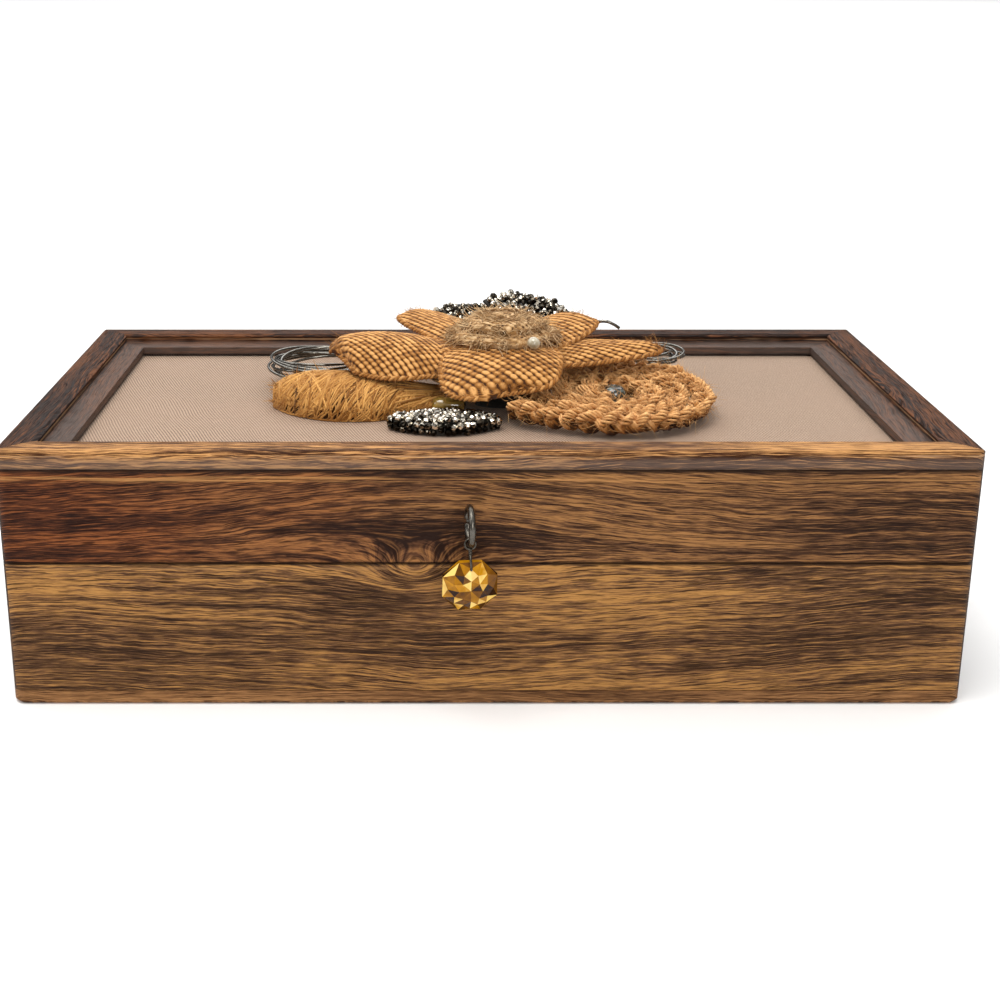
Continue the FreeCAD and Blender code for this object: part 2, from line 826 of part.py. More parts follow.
def crystal():
    """An octagon with a flat table and eight bevel facets on both faces."""
    body = new_body("crystal_body")
    half = s.crystal_width / 2
    flat = half * tangent(as_size(180 / OCTAGON_COUNT))
    corners = [(flat, half), (-flat, half), (-half, flat), (-half, -flat),
               (-flat, -half), (flat, -half), (half, -flat), (half, flat)]
    prism = pad(body, outline(new_sketch(body, "XZ_Plane", "crystal_plan"), corners),
                s.crystal_thickness, both_ways=True)
    document.recompute()
    faces = ["Face%d" % (index + 1) for index, face in enumerate(prism.Shape.Faces)
             if abs(face.normalAt(0, 0).y) > 1 / 2]
    bevel = body.newObject("PartDesign::Chamfer", "crystal_bevel")
    bevel.Base = (prism, faces)
    bevel.ChamferType = "Two distances"
    bind(bevel, Size=(s.crystal_thickness - s.crystal_girdle) / 2,
         Size2=(s.crystal_width - s.crystal_table) / 2)
    hole = new_sketch(body, "XZ_Plane", "crystal_hole")
    round_outline(hole, s.crystal_hole_radius, ZERO, half - s.crystal_hole_inset)
    pocket(body, hole)
    turn = eye_turn.multiply(Rotation(RIGHT, float(s.crystal_lean)))
    body.Placement = Placement(hole_place - turn.multVec(UP * crystal_drop), turn)
    keep("crystal_drop", body)


# Flower
gap = float(s.fabric_gap)
flower = point(s.flower_offset, s.flower_setback, linen_top)
# Stations along a petal and its width there, as shares of its length and width
petal_outline_shares = ((0, 0.4), (0.16, 0.58), (0.3, 0.76), (0.45, 0.9), (0.6, 1), (0.74, 0.97),
                        (0.86, 0.82), (0.95, 0.58), (1, 0.34))
# Each petal: heading and tier, then shares of length, width, rise, crown and roll
petal_shares = {
    "petal_left": (184, 0.5, 1.04, 0.86, 0.1, 0.95, 0.9),
    "petal_front": (266, 2.4, 0.54, 1.03, -1.25, 0.4, -0.2),
    "petal_right": (5, 0, 0.98, 0.6, 0.25, 0.45, -0.35),
    "petal_back_right": (44, 1.5, 0.7, 0.68, 0.7, 0.4, 0.3),
    "petal_back_left": (131, 2.05, 0.8, 0.7, 0.4, 0.4, -0.4),
}


def petal(name):
    """A folded burlap petal: arched sections along a rising or falling line."""
    heading, tier, *shares = petal_shares[name]
    length_share, width_share, rise_share, crown_share, roll_share = shares
    along, across = turned(heading)
    length = float(s.petal_length) * length_share
    foot = float(s.petal_height) + float(s.petal_tier) * tier
    rings = []
    for station_share, station_width_share in petal_outline_shares:
        reach = float(s.petal_root) + length * station_share
        height = foot + float(s.petal_rise) * rise_share * station_share ** 2
        centre = flower + along * reach + UP * height
        roll = Rotation(along, -float(s.petal_roll) * roll_share * math.sin(math.pi / 2 * station_share))
        width = float(s.petal_width) * width_share * station_width_share
        flat_share = math.sin(math.pi / 2 * min(1, station_share * 2))
        crown = float(s.petal_crown) * crown_share * station_width_share * flat_share
        rings.append(crescent(centre, roll.multVec(across), roll.multVec(UP), width, crown, crown,
                              float(s.petal_thickness)))
    keep(name, solid(name, skin(rings)))


def flower_hub():
    """The stacked felt that carries the petals."""
    sides = OCTAGON_COUNT * 2
    low, high = float(s.hub_radius + s.petal_thickness), float(s.hub_radius)
    rings = [polygon(flower + UP * gap, RIGHT, FRONT, low, sides),
             polygon(flower + UP * float(s.hub_height), RIGHT, FRONT, high, sides)]
    keep("flower_hub", solid("flower_hub", skin(rings)))


LOBES = 5


def lobed_ring(radius, level):
    """Points of a round outline with five shallow lobes."""
    steps = LOBES * 6
    angles = [2 * math.pi * step / steps for step in range(steps)]
    reaches = [radius * (1 + math.cos(LOBES * a) / (LOBES * 4)) for a in angles]
    return [flower + Vector(reach * math.cos(a), reach * math.sin(a), level)
            for a, reach in zip(angles, reaches)]


PEARL_TIERS_SHARES = ((-1, 0.4), (-0.6, 0.85), (0, 1), (0.6, 0.85), (1, 0.4))


def flower_centre():
    """Two rounds of frayed burlap on a stitched stem, with a pearl sewn to their edge."""
    low, layer = float(s.centre_base), float(s.centre_layer)
    radius = float(s.centre_radius)
    foot = float(s.hub_height) + gap
    stem_radius = float(s.centre_stem_radius)
    stem = skin([polygon(flower + UP * level, RIGHT, FRONT, stem_radius, OCTAGON_COUNT)
                 for level in (foot, low)])
    lower = skin([lobed_ring(radius, low), lobed_ring(radius * 0.93, low + layer)])
    keep("centre_lower", solid("centre_lower", lower.fuse(stem)))
    upper = skin([lobed_ring(radius * 0.74, low + layer), lobed_ring(radius * 0.62, low + layer * 2)])
    keep("centre_upper", solid("centre_upper", upper))
    pearl = float(s.pearl_radius)
    along, _ = turned(float(s.pearl_turn))
    seat = flower + along * (radius + pearl) + UP * (low + layer / 2)
    keep("centre_pearl", solid("centre_pearl", faceted_bead(
        seat, UP, RIGHT, pearl, pearl * 2, OCTAGON_COUNT, PEARL_TIERS_SHARES)))


def leaf_pad():
    """A stuffed jute leaf lying on the linen: crowned, with drawn-in sides."""
    stations_shares = ((0, 0.3), (0.1, 0.46), (0.24, 0.7), (0.4, 0.92), (0.56, 1), (0.7, 0.98),
                       (0.84, 0.84), (0.94, 0.6), (1, 0.34))
    along, across = turned(float(s.pad_turn))
    side, crown, belly = float(s.pad_side), float(s.pad_crown), float(s.pad_belly)
    start = flower + Vector(-float(s.pad_offset), -float(s.pad_setback), 0)
    rings = []
    for station_share, width_share in stations_shares:
        thick_share = (1 + width_share) / 2
        centre = start + along * (float(s.pad_length) * station_share)
        centre += UP * (gap + (side + belly) * thick_share)
        rings.append(crescent(centre, across, UP, float(s.pad_width) * width_share,
                              crown * width_share, -belly * thick_share, side * thick_share))
    keep("leaf_pad", solid("leaf_pad", skin(rings)))


def rosette():
    """One braid wound flat into a spiral, with its end led off to the side."""
    height, width = float(s.braid_height), float(s.braid_width)
    middle = point(s.rosette_offset, s.rosette_setback, linen_top) + UP * (gap + height / 2)
    first_radius = float(s.braid_first_radius)
    points, heading = spiral(middle, first_radius, width + float(s.braid_gap),
                             int(float(s.braid_half_turns)), float(s.braid_end_turn), clockwise=True)
    print("jute_rosette least gap to itself %.2f mm" % least_gap(points, first_radius, width))
    points.append(points[-1] + heading * float(s.braid_tail))
    flats = width / 2 / math.cos(math.pi / OCTAGON_COUNT)
    keep("jute_rosette", solid("jute_rosette", tube(points, UP, flats, OCTAGON_COUNT, height / width)))
    bead = float(s.rosette_bead_height)
    bead_middle = middle + UP * (bead / 2 - height / 2)
    keep("rosette_bead", solid("rosette_bead", faceted_bead(
        bead_middle, UP, RIGHT, float(s.rosette_bead_radius), bead, OCTAGON_COUNT * 2,
        ((-1, 0.7), (-0.7, 1), (0.5, 1), (1, 0.6)))))


def wire_spray(name, first_radius, half_turns, reach, turn, height, clockwise):
    """Loose loops of silver wire in one plane, with the tail led to the hub."""
    wire, pitch = float(s.spray_wire_radius), float(s.spray_pitch)
    along, _ = turned(turn)
    hub_axis = flower + UP * height
    outer = first_radius + pitch / 2 * (half_turns - 1)
    lean = math.degrees(math.asin(outer / reach))
    end_angle = turn - 90 - lean if clockwise else turn + 90 + lean
    points, heading = spiral(hub_axis + along * reach, first_radius, pitch, half_turns, end_angle, clockwise)
    print("%s least gap to itself %.2f mm" % (name, least_gap(points, first_radius, wire * 2)))
    slope = float(s.petal_thickness) / float(s.hub_height)
    hub_side = float(s.hub_radius) + slope * (float(s.hub_height) - height)
    to_axis = hub_axis - points[-1]
    along_run = to_axis.dot(heading)
    off_run = (to_axis - heading * along_run).Length
    run = along_run - math.sqrt(max(hub_side ** 2 - off_run ** 2, 0)) - gap - wire
    points.append(points[-1] + heading * run)
    keep(name, solid(name, tube(points, UP, wire, HEXAGON_COUNT)))


def wire_tail():
    """The loose end of wire that curls up behind the back right petal."""
    wire, length, rise = float(s.spray_wire_radius), float(s.petal_length), float(s.petal_rise)
    along, across = turned(petal_shares["petal_back_right"][0] + float(s.tail_turn))
    start = flower + along * float(s.hub_radius + s.fabric_gap * 2) + UP * (float(s.hub_height) - wire * 3)
    # Points of the wire: shares of the petal's length out and across, and of the petals' rise up
    route_shares = ((0, 0, 0), (0.66, -0.14, 0.25), (0.67, -0.19, 1.15), (0.69, -0.29, 1.3),
                    (0.75, -0.38, 0.94))
    corners = [start + along * (length * out) + across * (length * aside) + UP * (rise * up)
               for out, aside, up in route_shares]
    keep("wire_tail", solid("wire_tail", tube(bent_path(corners, wire * 4), UP, wire, HEXAGON_COUNT)))


# Beaded leaves
BICONE_TIERS_SHARES = ((-1, 0.35), (0, 1), (1, 0.35))
BARREL_TIERS_SHARES = ((-1, 0.45), (-0.55, 0.97), (0.55, 0.97), (1, 0.45))


def bead_leaf(name, middle, backing, turn=Rotation(), stem_from=None, stem_share=0):
    """A leaf-shaped backing covered with rows of faceted beads."""
    length, width = float(s.bead_leaf_length), float(s.bead_leaf_width)
    bead, pitch = float(s.bead_radius), float(s.bead_pitch)
    half, side = length / 2, width / 2
    arc_radius = (half ** 2 + side ** 2) / (side * 2)
    steps = 12
    shares = [2 * step / steps - 1 for step in range(steps + 1)]
    edge = [(half * share, math.sqrt(arc_radius ** 2 - (half * share) ** 2) - arc_radius + side)
            for share in shares]
    corners = [Vector(x, y, 0) for x, y in edge] + [Vector(x, -y, 0) for x, y in edge[-2:0:-1]]
    plate = Part.Face(Part.makePolygon(corners + corners[:1])).extrude(UP * backing)
    pose = Placement(middle, turn)
    plate.Placement = pose
    if stem_from is not None:
        across = length * stem_share
        inset = math.sqrt(arc_radius ** 2 - across ** 2) - arc_radius + side - float(s.stem_radius)
        foot = pose.multVec(Vector(across, -inset, 0))
        plate = plate.fuse(tube([stem_from, foot], UP, float(s.stem_radius), HEXAGON_COUNT))
    keep(name + "_backing", solid(name + "_backing", plate))
    beads = []
    for row in (-1, 0, 1):
        reach = math.sqrt(arc_radius ** 2 - (abs(row) * pitch + bead + arc_radius - side) ** 2)
        count = int(2 * reach / pitch)
        for index in range(count):
            level = backing + float(s.bead_seat) + bead
            place_at = Vector((index - (count - 1) / 2) * pitch, row * pitch, level)
            beads.append(faceted_bead(pose.multVec(place_at), pose.Rotation.multVec(UP), RIGHT,
                                      bead, bead * 2, HEXAGON_COUNT, BICONE_TIERS_SHARES))
    keep(name + "_beads", solid(name + "_beads", Part.Compound(beads)))


def bead_leaves():
    length = float(s.bead_leaf_length)
    front = flower + Vector(-length * 0.56, -length * 1.02, gap)
    bead_leaf("bead_leaf_front", front, float(s.front_leaf_backing))
    tilt = Rotation(RIGHT, float(s.back_leaf_tilt))
    stem_height = float(s.hub_height) * 3 / 4
    # Each back leaf: shares of its length aside and behind and of the centre's height, a share of the lean,
    # then its stem's heading and the share of its length where the stem is sewn on
    place_shares = {
        "bead_leaf_back_right": (0.33, 1.14, 0.99, 1, 82, -0.15),
        "bead_leaf_back_left": (-0.32, 1.38, 0.76, 0, 106, 0.25),
    }
    for name, shares in place_shares.items():
        aside_share, behind_share, level_share, lean_share, stem_turn, stem_share = shares
        along, _ = turned(stem_turn)
        stem_from = flower + along * (float(s.hub_radius) + gap * 3) + UP * stem_height
        level = float(s.centre_base) * level_share
        middle = flower + Vector(length * aside_share, length * behind_share, level)
        lean = Rotation(FRONT, -float(s.back_leaf_lean) * lean_share)
        bead_leaf(name, middle, float(s.bead_leaf_backing), lean.multiply(tilt), stem_from, stem_share)


def amber_bead():
    radius, length = float(s.amber_radius), float(s.amber_length)
    middle = flower + Vector(-float(s.hub_radius) * 2, -float(s.hub_radius) * 2, gap + radius)
    keep("amber_bead", solid("amber_bead", faceted_bead(
        middle, RIGHT, FRONT, radius, length, OCTAGON_COUNT, BARREL_TIERS_SHARES)))


# Build
groove = stop_groove()
seats = hinge_seats(groove)
bottom_board()
base_boards({"back": seats, "left": groove, "right": groove})
hinges()
lid_rails({"back": seats, "left": groove, "right": groove, "front": screw_eye()})
frame_mouldings()
covered_panel()
wire_link()
crystal()
flower_hub()
for petal_name in petal_shares:
    petal(petal_name)
flower_centre()
leaf_pad()
rosette()
wire_spray("wire_spray_left", float(s.left_spray_radius), int(float(s.left_spray_half_turns)),
           float(s.left_spray_reach), float(s.left_spray_turn), float(s.left_spray_height), clockwise=True)
wire_spray("wire_spray_right", float(s.right_spray_radius), int(float(s.right_spray_half_turns)),
           float(s.right_spray_reach), float(s.right_spray_turn), float(s.right_spray_height), clockwise=False)
wire_tail()
bead_leaves()
amber_bead()
document.recompute()

# Check and write
for item in document.Objects:
    if any(word in item.State for word in ("Invalid", "Error")):
        raise RuntimeError("%s is %s" % (item.Label, item.State))
for node, item in nodes.items():
    if item.Shape.isNull() or not item.Shape.isValid() or item.Shape.Volume <= 0:
        raise RuntimeError("%s has no valid solid" % node)
os.makedirs("parts", exist_ok=True)
for node, item in nodes.items():
    item.Shape.exportStep("parts/%s.step" % node)
print("%d sub-parts written" % len(nodes))
print("lid axis at y %.2f, z %.2f" % (float(hinge_line), float(parting)))
print("eye centre %.3f %.3f %.3f" % tuple(eye_centre))
print("crystal hole %.3f %.3f %.3f, link lean %.2f" % (*hole_place, link_lean))
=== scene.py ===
# %% [markdown]
# A wooden trinket box with a moulded frame on its lid, a linen panel and a flower of burlap and jute.
# The hard parts come from the CAD model as they are, so this lesson dresses them in materials and
# makes the cloth, yarn, beads and wire, which need shapes that a solid modeller draws badly.

# %% Load the frame
import math
import bpy
import numpy as np
from mathutils import Matrix, Vector


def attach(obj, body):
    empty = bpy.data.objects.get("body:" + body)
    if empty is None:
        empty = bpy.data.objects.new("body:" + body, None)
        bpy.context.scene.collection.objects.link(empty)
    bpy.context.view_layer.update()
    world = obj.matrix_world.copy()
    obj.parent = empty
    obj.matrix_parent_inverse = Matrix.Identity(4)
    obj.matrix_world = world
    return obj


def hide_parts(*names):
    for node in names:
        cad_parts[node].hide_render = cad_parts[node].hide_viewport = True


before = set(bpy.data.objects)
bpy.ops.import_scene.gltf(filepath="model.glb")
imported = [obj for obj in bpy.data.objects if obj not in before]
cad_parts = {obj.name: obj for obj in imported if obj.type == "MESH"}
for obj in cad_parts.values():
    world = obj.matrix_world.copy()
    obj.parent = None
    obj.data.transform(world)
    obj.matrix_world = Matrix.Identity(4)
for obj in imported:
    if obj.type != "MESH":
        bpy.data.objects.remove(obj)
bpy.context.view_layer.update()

MM = 0.001
print("nodes from the frame:", len(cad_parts))

# %% [markdown]
# The camera repeats the photograph's view: low in front of the box, looking 18.5 degrees down, with the
# box left of the middle. The small shift moves the picture sideways without turning the camera, so the
# box's front stays square to it, as it is in the photograph. The plain view transform keeps the paper
# white and the jute as golden as a snapshot shows them; a film-like one would grey both.


# %% Camera
def new_object(name, data):
    """An object in the scene."""
    thing = bpy.data.objects.new(name, data)
    bpy.context.scene.collection.objects.link(thing)
    return thing


camera_data = bpy.data.cameras.new("camera")
camera_data.sensor_width, camera_data.lens, camera_data.shift_x = 36, 56.96, 0.0639
camera = new_object("camera", camera_data)
camera.location = (-0.0136, -0.4575, 0.1865)
camera.rotation_euler = (math.radians(71.51), 0, 0)
bpy.context.scene.camera = camera
bpy.context.scene.view_settings.view_transform = "Standard"
print("camera looks down by", round(90 - math.degrees(camera.rotation_euler[0]), 2), "degrees")

# %% [markdown]
# Product photographs are lit by large soft lamps. One broad lamp hangs above and in front, two weaker
# ones fill the front and the left, and a huge one far behind keeps the distant paper white. The world is
# bright overhead and dark near the horizon, so that metal and glass have something dark to reflect.

# %% Lamps
for name, place, target, size, power, tint in (
        ("lamp_above", (-0.2, -0.25, 0.95), (0, 0, 0.03), 0.6, 6.6, (1, 0.98, 0.95)),
        ("lamp_front", (0.3, -1.2, 0.5), (0, 0, 0.03), 0.5, 5.0, (1, 0.97, 0.93)),
        ("lamp_left", (-0.9, -0.2, 0.45), (0, 0, 0.05), 0.4, 1.2, (1, 1, 1)),
        ("lamp_backdrop", (0, 6.0, 4.0), (0, 6.0, 0), 8.0, 420.0, (1, 1, 1))):
    light = bpy.data.lights.new(name, "AREA")
    light.size, light.energy, light.color = size, power, tint
    lamp = new_object(name, light)
    lamp.location = place
    lamp.rotation_euler = (Vector(target) - Vector(place)).to_track_quat("-Z", "Y").to_euler()

# %% [markdown]
# Materials are made of nodes. A wire stands for what comes out of a node, and one can reckon with it as
# with a number: each sum adds the node that does it. So every recipe below reads as plain arithmetic.


# %% Node helpers
def colour(code):
    """A colour from its six hex digits, as the linear values that shaders need."""
    values = [int(code[i:i + 2], 16) / 255 for i in (0, 2, 4)]
    return [v / 12.92 if v <= 0.04045 else ((v + 0.055) / 1.055) ** 2.4 for v in values] + [1]


class Wire:
    """One output of a node in a tree."""

    def __init__(self, tree, socket):
        self.tree, self.socket = tree, socket

    def __add__(self, other):
        return maths("ADD", self, other)

    __radd__ = __add__

    def __sub__(self, other):
        return maths("SUBTRACT", self, other)

    def __mul__(self, other):
        return maths("MULTIPLY", self, other)

    def __truediv__(self, other):
        return maths("DIVIDE", self, other)


def tree_of(*values):
    return next(value.tree for value in values if isinstance(value, Wire))


def join(tree, socket, value):
    """Links a wire to an input socket, or sets the socket to a plain value."""
    if isinstance(value, Wire):
        tree.links.new(value.socket, socket)
    else:
        socket.default_value = value


def add(tree, kind, inputs=None, output=0, **settings):
    """Adds one shader node and gives one of its outputs."""
    node = tree.nodes.new("ShaderNode" + kind)
    for name, value in settings.items():
        setattr(node, name, value)
    for name, value in (inputs or {}).items():
        join(tree, node.inputs[name], value)
    return Wire(tree, node.outputs[output])


def maths(operation, *values):
    return add(tree_of(*values), "Math", dict(enumerate(values)), operation=operation)


def merge(x, y, z):
    return add(tree_of(x, y, z), "CombineXYZ", {0: x, 1: y, 2: z})


def split(vector):
    """The three parts of a vector."""
    node = add(vector.tree, "SeparateXYZ", {0: vector}).socket.node
    return [Wire(vector.tree, socket) for socket in node.outputs]


def scaled(vector, factors, offset=(0, 0, 0)):
    """A vector times one factor for each axis, plus an offset."""
    return add(vector.tree, "VectorMath", {0: vector, 1: factors, 2: offset}, operation="MULTIPLY_ADD")


def noise(vector, scale, detail=2, roughness=0.5, offset=(0, 0, 0)):
    """Soft noise; the scale is one number, or one for each axis, and then an offset may move it."""
    if isinstance(scale, tuple):
        vector, scale = scaled(vector, scale, offset), 1
    return add(vector.tree, "TexNoise", {"Vector": vector, "Scale": scale, "Detail": detail,
                                         "Roughness": roughness})


def band(value, low, high, to_low=0, to_high=1):
    """Goes smoothly from one value to another while the input goes from low to high."""
    return add(value.tree, "MapRange", {"Value": value, "From Min": low, "From Max": high, "To Min": to_low,
                                        "To Max": to_high}, interpolation_type="SMOOTHSTEP")


def mixed(factor, first, second, blend="MIX"):
    return add(factor.tree, "Mix", {0: factor, 6: first, 7: second}, 2, data_type="RGBA", blend_type=blend)


def ramp(factor, stops):
    """A colour that runs through stops of (place, hex digits)."""
    wire = add(factor.tree, "ValToRGB", {0: factor})
    points = wire.socket.node.color_ramp.elements
    while len(points) < len(stops):
        points.new(0.5)
    for point, (place, shade) in zip(points, stops):
        point.position = place
        point.color = colour(shade) if isinstance(shade, str) else shade
    return wire


def new_group(name, inputs, outputs):
    """A node group; gives the group, the wires from its inputs and the sockets of its outputs."""
    group = bpy.data.node_groups.new(name, "ShaderNodeTree")
    kinds = {tuple: "Vector", list: "Color", float: "Float"}
    for label, value in inputs.items():
        kind = "NodeSocket" + kinds[type(value)]
        group.interface.new_socket(label, in_out="INPUT", socket_type=kind).default_value = value
    for label in outputs:
        kind = "NodeSocketColor" if label == "Color" else "NodeSocketFloat"
        group.interface.new_socket(label, in_out="OUTPUT", socket_type=kind)
    start, end = group.nodes.new("NodeGroupInput"), group.nodes.new("NodeGroupOutput")
    return group, {label: Wire(group, start.outputs[label]) for label in inputs}, end.inputs


def use_group(tree, group, **inputs):
    node = add(tree, "Group", inputs, node_tree=group).socket.node
    return {socket.name: Wire(tree, socket) for socket in node.outputs}


def paint(material, **inputs):
    """Links or sets inputs of the material's shader."""
    tree = material.node_tree
    for label, value in inputs.items():
        join(tree, tree.nodes["Principled BSDF"].inputs[label.replace("_", " ")], value)


def new_material(name, **settings):
    material = bpy.data.materials.new(name)
    material.use_nodes = True
    paint(material, **settings)
    return material


def place_mm(material):
    """Where a point is on the object at rest, in millimetres."""
    return scaled(add(material.node_tree, "TexCoord", output="Object"), (1000, 1000, 1000))


def bump(material, height, distance, strength=1.0):
    """Raises the surface in shading only, by a distance in millimetres."""
    inputs = {"Height": height, "Distance": distance * MM, "Strength": strength}
    paint(material, Normal=add(material.node_tree, "Bump", inputs))


def speckled(name, stops, scale, detail=2, roughness=0.5, **settings):
    """A material whose colour runs through stops with soft noise; gives the noise as well."""
    material = new_material(name, **settings)
    mark = noise(place_mm(material), scale, detail, roughness)
    paint(material, Base_Color=ramp(mark, stops))
    return material, mark


# %% [markdown]
# The floor is plain and pale.

# %% Floor and world
FLOOR_HALF = 30.0
mesh = bpy.data.meshes.new("floor")
mesh.from_pydata([(x * FLOOR_HALF, y * FLOOR_HALF, 0) for x, y in ((-1, -1), (1, -1), (1, 1), (-1, 1))], [],
                 [(0, 1, 2, 3)])
paper_stops = ((0.3, (0.89, 0.89, 0.89, 1)), (0.7, (0.91, 0.91, 0.91, 1)))
mesh.materials.append(speckled("floor_paper", paper_stops, 0.02, Roughness=0.9)[0])
new_object("floor", mesh)

world = bpy.data.worlds.new("studio")
bpy.context.scene.world = world
world.use_nodes = True
height = split(add(world.node_tree, "TexCoord", output="Generated"))[2]
background = world.node_tree.nodes["Background"]
join(world.node_tree, background.inputs["Color"],
     ramp(band(height, 0.05, 0.75), ((0.0, (0.16, 0.15, 0.14, 1)), (1.0, (1, 1, 1, 1)))))
background.inputs["Strength"].default_value = 0.75

# %% [markdown]
# The box is of a brown open-grained hardwood. The two front boards were cut from one plank, so a figure
# of lines that swell round a small knot runs across the joint between lid and base. The rings are drawn
# as the height on the board, bowed away from the knot's level and bent by slow noise. The pores are
# short dark dashes stretched along those same rings, so the grain follows the figure. One node group
# makes all boards, each with its own eye and tones. The front of the lid is redder towards its left
# end, and a line near its top edge is paler in streaks.


# %% Wood group
wood_group, given, made = new_group(
    "Figured Wood",
    {"Vector": (0, 0, 0), "Eye": (0, 0, 0), "Swell": 3.0, "Knot": 0.0, "Seed": 0.0,
     "Dark": colour("452715"), "Middle": colour("6d4a32"), "Light": colour("96693f"),
     "Streaks": 0.6, "Contrast": 1.0},
    ("Color", "Roughness", "Height"))
SWELL_REACH, SWELL_SOFTNESS, KNOT_SIZE = 65, 400.0, 30


def draw_wood(tree, board, seed):
    shift = merge(seed, seed, seed)
    slow = noise(board, (0.011, 0.03, 0.03), 1, offset=shift)
    quick = noise(board, (0.05, 0.12, 0.1), 3, offset=shift)
    run, rise, deep = split(add(tree, "VectorMath", {0: board, 1: given["Eye"]}, operation="SUBTRACT"))
    across = rise + (slow - 0.5) * 9.0 + (quick - 0.5) * 2.6
    # The lines swell apart above and below the eye, and a few close round the knot in it
    far = run * run / SWELL_REACH ** 2 + 1.0
    bow = across / maths("SQRT", across * across + SWELL_SOFTNESS) / far * given["Swell"]
    near = across * across + run * run * 0.3
    ring = across - bow + given["Knot"] / (near / KNOT_SIZE + 1.0)
    # Broad bands of tone, patches, fine ring lines that run far, and dashes laid along the rings
    flat = merge(ring, seed, run * 0.01)
    dash = merge(run, ring + across * 0.4, deep)
    tone = sum((value - 0.5) * share for value, share in (
        (noise(flat, (0.2, 1, 1)), 0.5),
        (noise(board, (0.014, 0.06, 0.03), 3, offset=shift), 0.55),
        (noise(flat, (1.3, 1, 1), 4, 0.7), 0.95),
        (noise(dash, (0.13, 2.8, 0.6), 3, 0.65, shift), 1.0))) * given["Contrast"] + 0.5
    fine_pore = band(noise(dash, (0.16, 4.2, 0.6), 2, 0.6), 0.45, 0.37)
    long_pore = band(noise(dash, (0.1, 2.1, 0.3), 1, 0.4, shift), 0.395, 0.345)
    pores = maths("MAXIMUM", fine_pore * 0.65, long_pore)
    streak = noise(dash, (0.09, 4.4, 0.6), 2, 0.6)
    base = band(tone, 0.24, 0.8) * 2.0
    shade = mixed(base, given["Dark"], given["Middle"])
    pale = band(streak, 0.53, 0.68) * given["Streaks"] * 0.7
    for share, label in ((base - 1.0, "Light"), (pale, "Light"), (pores * 0.8, "Dark")):
        shade = mixed(share, shade, given[label])
    join(tree, made["Color"], shade)
    join(tree, made["Roughness"], tone * 0.1 + pores * 0.2 + 0.5)
    join(tree, made["Height"], streak * 0.4 - pores)


draw_wood(wood_group, given["Vector"], given["Seed"])

# %% [markdown]
# Painted shade darkens the narrow grooves where two boards meet, standing in for the shade that falls
# into them. A second group finds them by their height above the table, which serves every board of the box.

# %% Groove group
# The mask marks a band at one height; the dark bands paint the shade in the grooves
groove_group, given_groove, made_groove = new_group(
    "Dark Groove", {"Place": (0, 0, 0), "Level": 40.3, "Width": 1.0}, ("Mask",))
apart = maths("ABSOLUTE", split(given_groove["Place"])[2] - given_groove["Level"])
uneven = noise(given_groove["Place"], 0.2, 1) + 0.5
join(groove_group, made_groove["Mask"], band(apart / (given_groove["Width"] * uneven), 1.0, 0.2))


# %% Wood materials
def wood_material(name, along, across, eye, seed, tones, figure=(3.0, 0.0), streaks=0.6, contrast=1.0,
                  levels=(), shine=0.12, blush=None):
    """Wood whose grain runs along one direction; across tells how the board's width is measured. The
    figure is how far the lines swell at the eye and how strong the knot is there, in millimetres."""
    material = new_material(name, Specular_IOR_Level=shine)
    tree, here = material.node_tree, place_mm(material)
    run, rise = (add(tree, "VectorMath", {0: here, 1: way}, "Value", operation="DOT_PRODUCT")
                 for way in (along, across))
    dark, middle, light = (colour(tone) for tone in tones)
    swell, knot = figure
    wood = use_group(tree, wood_group, Vector=merge(run, rise, 0.0), Eye=eye, Swell=swell, Knot=knot,
                     Seed=seed, Dark=dark, Middle=middle, Light=light, Streaks=streaks, Contrast=contrast)
    shade = wood["Color"]
    if blush:
        tint, start, end = blush
        reach = run + noise(here, (0.02, 0.02, 0.06)) * 90.0
        shade = mixed(band(reach, start, end), shade, colour(tint), "MULTIPLY")
    pale_streaks = band(noise(here, (0.02, 0.02, 1.6), 3, 0.7), 0.46, 0.56)
    for level, width, tone, strength in levels:
        mask = use_group(tree, groove_group, Place=here, Level=level, Width=width)["Mask"]
        # A groove is painted dark all along, as shade; an edge (its strength above one) is paler in streaks
        # only
        if strength > 1:
            mask, strength = mask * pale_streaks, strength - 1
        shade = mixed(mask * strength, shade, colour(tone))
    paint(material, Base_Color=shade, Roughness=wood["Roughness"])
    bump(material, wood["Height"], 0.15, 0.7)
    return material


def dress(node, material):
    """Gives a CAD node its finish."""
    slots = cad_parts[node].data.materials
    slots.clear()
    slots.append(material)


ALONG_X, ALONG_Y = (1, 0, 0), (0, 1, 0)
PARTING, UNDER_FRAME, FACE_TOP = 40.3, 65.7, 69.4
SIDE_TONES = ("1a0e06", "3c2616", "694829")
# Painted shade in the grooves at the lid's parting and under the frame
shaded_seams = ((PARTING, 0.8, "1a0d06", 0.85), (UNDER_FRAME, 1.2, "1a0d06", 0.85))
FRONT_EYE, FRONT_KNOT, FRONT_SEED = (-19, -4.5, 0), 7.0, 3.0
for node, name, tones, swell, edge, blush in (
        ("lid_front_rail", "wood_lid_front", ("221006", "5f3f28", "986b3f"), 16.0,
         (63.4, 1.2, "c08a52", 1.6), ("ebc3b0", 60.0, -80.0)),
        ("base_front_panel", "wood_base_front", ("281609", "6a4930", "ac7c44"), 11.0,
         (38.9, 0.6, "a77d52", 1.4), None)):
    dress(node, wood_material(name, ALONG_X, (0, 0.6, 1), FRONT_EYE, FRONT_SEED, tones, (swell, FRONT_KNOT),
                              contrast=1.5, levels=(edge,) + shaded_seams, blush=blush))
